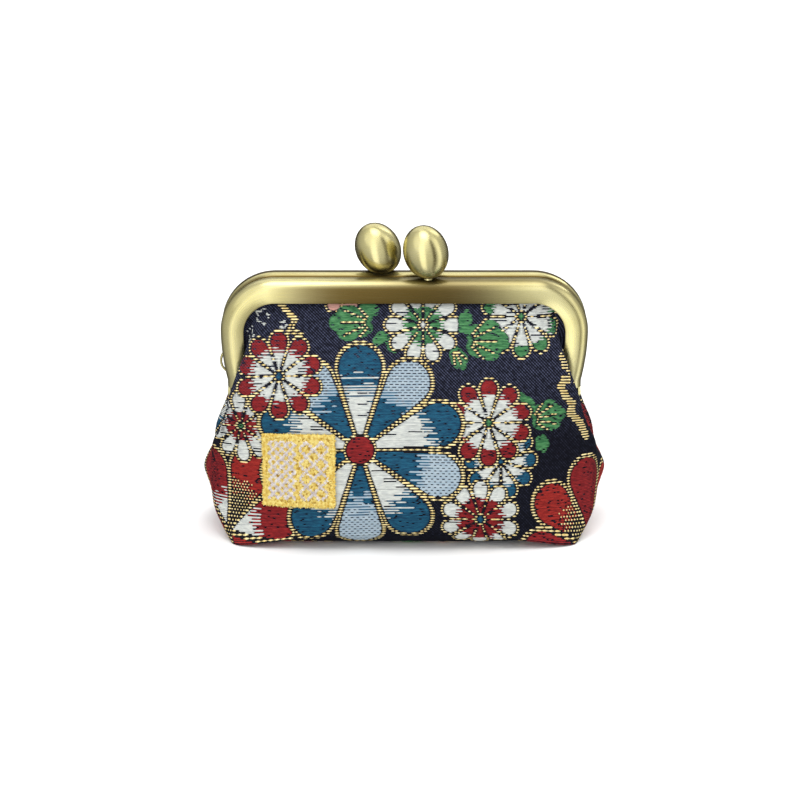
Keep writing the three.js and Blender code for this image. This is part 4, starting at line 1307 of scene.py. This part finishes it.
def floor():
    material, _, shader = new_material("floor_white", Roughness=0.9, Specular_IOR_Level=0.1)
    grain = noise(material, places(material), FLOOR_GRAIN)
    linked(material, ramp(material, grain, tinted(FLOOR_TONES)), shader.inputs["Base Color"])
    corners = [(x * FLOOR_SIZE, y * FLOOR_SIZE, 0) for x, y in ((-1, -1), (1, -1), (1, 1), (-1, 1))]
    stage_plane("floor", corners, material, ["glossy"])


def sun(name, azimuth, elevation, strength, spread):
    """A soft distant light from degrees to the right of the front and degrees up."""
    side, up = math.radians(azimuth), math.radians(elevation)
    direction = Vector((math.sin(side) * math.cos(up), -math.cos(side) * math.cos(up), math.sin(up)))
    light = bpy.data.lights.new(name, "SUN")
    light.energy = strength
    light.angle = math.radians(spread)
    lamp = bpy.data.objects.new(name, light)
    lamp.rotation_mode = "QUATERNION"
    lamp.rotation_quaternion = direction.to_track_quat("Z", "Y")
    bpy.context.scene.collection.objects.link(lamp)


def sky():
    """The room, in greys from the dim place behind and below to the bright one in front and above."""
    world = bpy.data.worlds.new("studio")
    world.use_nodes = True
    nodes = world.node_tree.nodes
    tilt = math.radians(ROOM_TILT)
    towards = nodes.new("ShaderNodeVectorMath")
    towards.operation = "DOT_PRODUCT"
    towards.inputs[1].default_value = (0, -math.cos(tilt), math.sin(tilt))
    linked(world, nodes.new("ShaderNodeTexCoord").outputs["Generated"], towards.inputs[0])
    place = ranged(world, towards.outputs["Value"], (-1, 1), (0, 1))
    shade = ramp(world, place, [(at, grey(level)) for at, level in ROOM_TONES])
    linked(world, shade, nodes["Background"].inputs["Color"])
    bpy.context.scene.world = world


def card(name, azimuth, width, foot_z, top_z, glow):
    """A glowing upright card that shows only in reflections, at degrees to the right of the front."""
    side = math.radians(azimuth)
    out = Vector((math.sin(side), -math.cos(side), 0)) * CARD_DISTANCE
    across = Vector((math.cos(side), math.sin(side), 0)) * width / 2
    foot, top = Vector((0, 0, foot_z)), Vector((0, 0, top_z))
    corners = [(out + shift) * MM for shift in (foot - across, foot + across, top + across, top - across)]
    material, _, _ = new_material(
        name, Base_Color=(0, 0, 0, 1), Specular_IOR_Level=0.0, Emission_Color=(*glow, 1),
        Emission_Strength=1.0)
    stage_plane(name, corners, material, ["camera", "diffuse", "transmission", "volume_scatter", "shadow"])


# The camera: the photograph's view, from 20 degrees above
ELEVATION, DISTANCE, AIM_HEIGHT = 20, 600, 35
LENS, SENSOR = 108, 36
MOVE_RIGHT, MOVE_UP = -1.075, -2.625


def camera():
    tilt = math.radians(ELEVATION)
    back = Vector((0, -math.cos(tilt), math.sin(tilt)))
    up = Vector((0, math.sin(tilt), math.cos(tilt)))
    data = bpy.data.cameras.new("camera")
    data.lens, data.sensor_width = LENS, SENSOR
    view = bpy.data.objects.new("camera", data)
    place = Vector((0, 0, AIM_HEIGHT)) + back * DISTANCE + Vector((1, 0, 0)) * MOVE_RIGHT + up * MOVE_UP
    view.location = place * MM
    view.rotation_mode = "QUATERNION"
    view.rotation_quaternion = back.to_track_quat("Z", "Y")
    bpy.context.scene.collection.objects.link(view)
    bpy.context.scene.camera = view


floor()
sky()
for name, facts in SUNS.items():
    sun(name, *facts)
for name, facts in CARDS.items():
    card(name, *facts)
camera()
bpy.context.scene.view_settings.view_transform = "Standard"
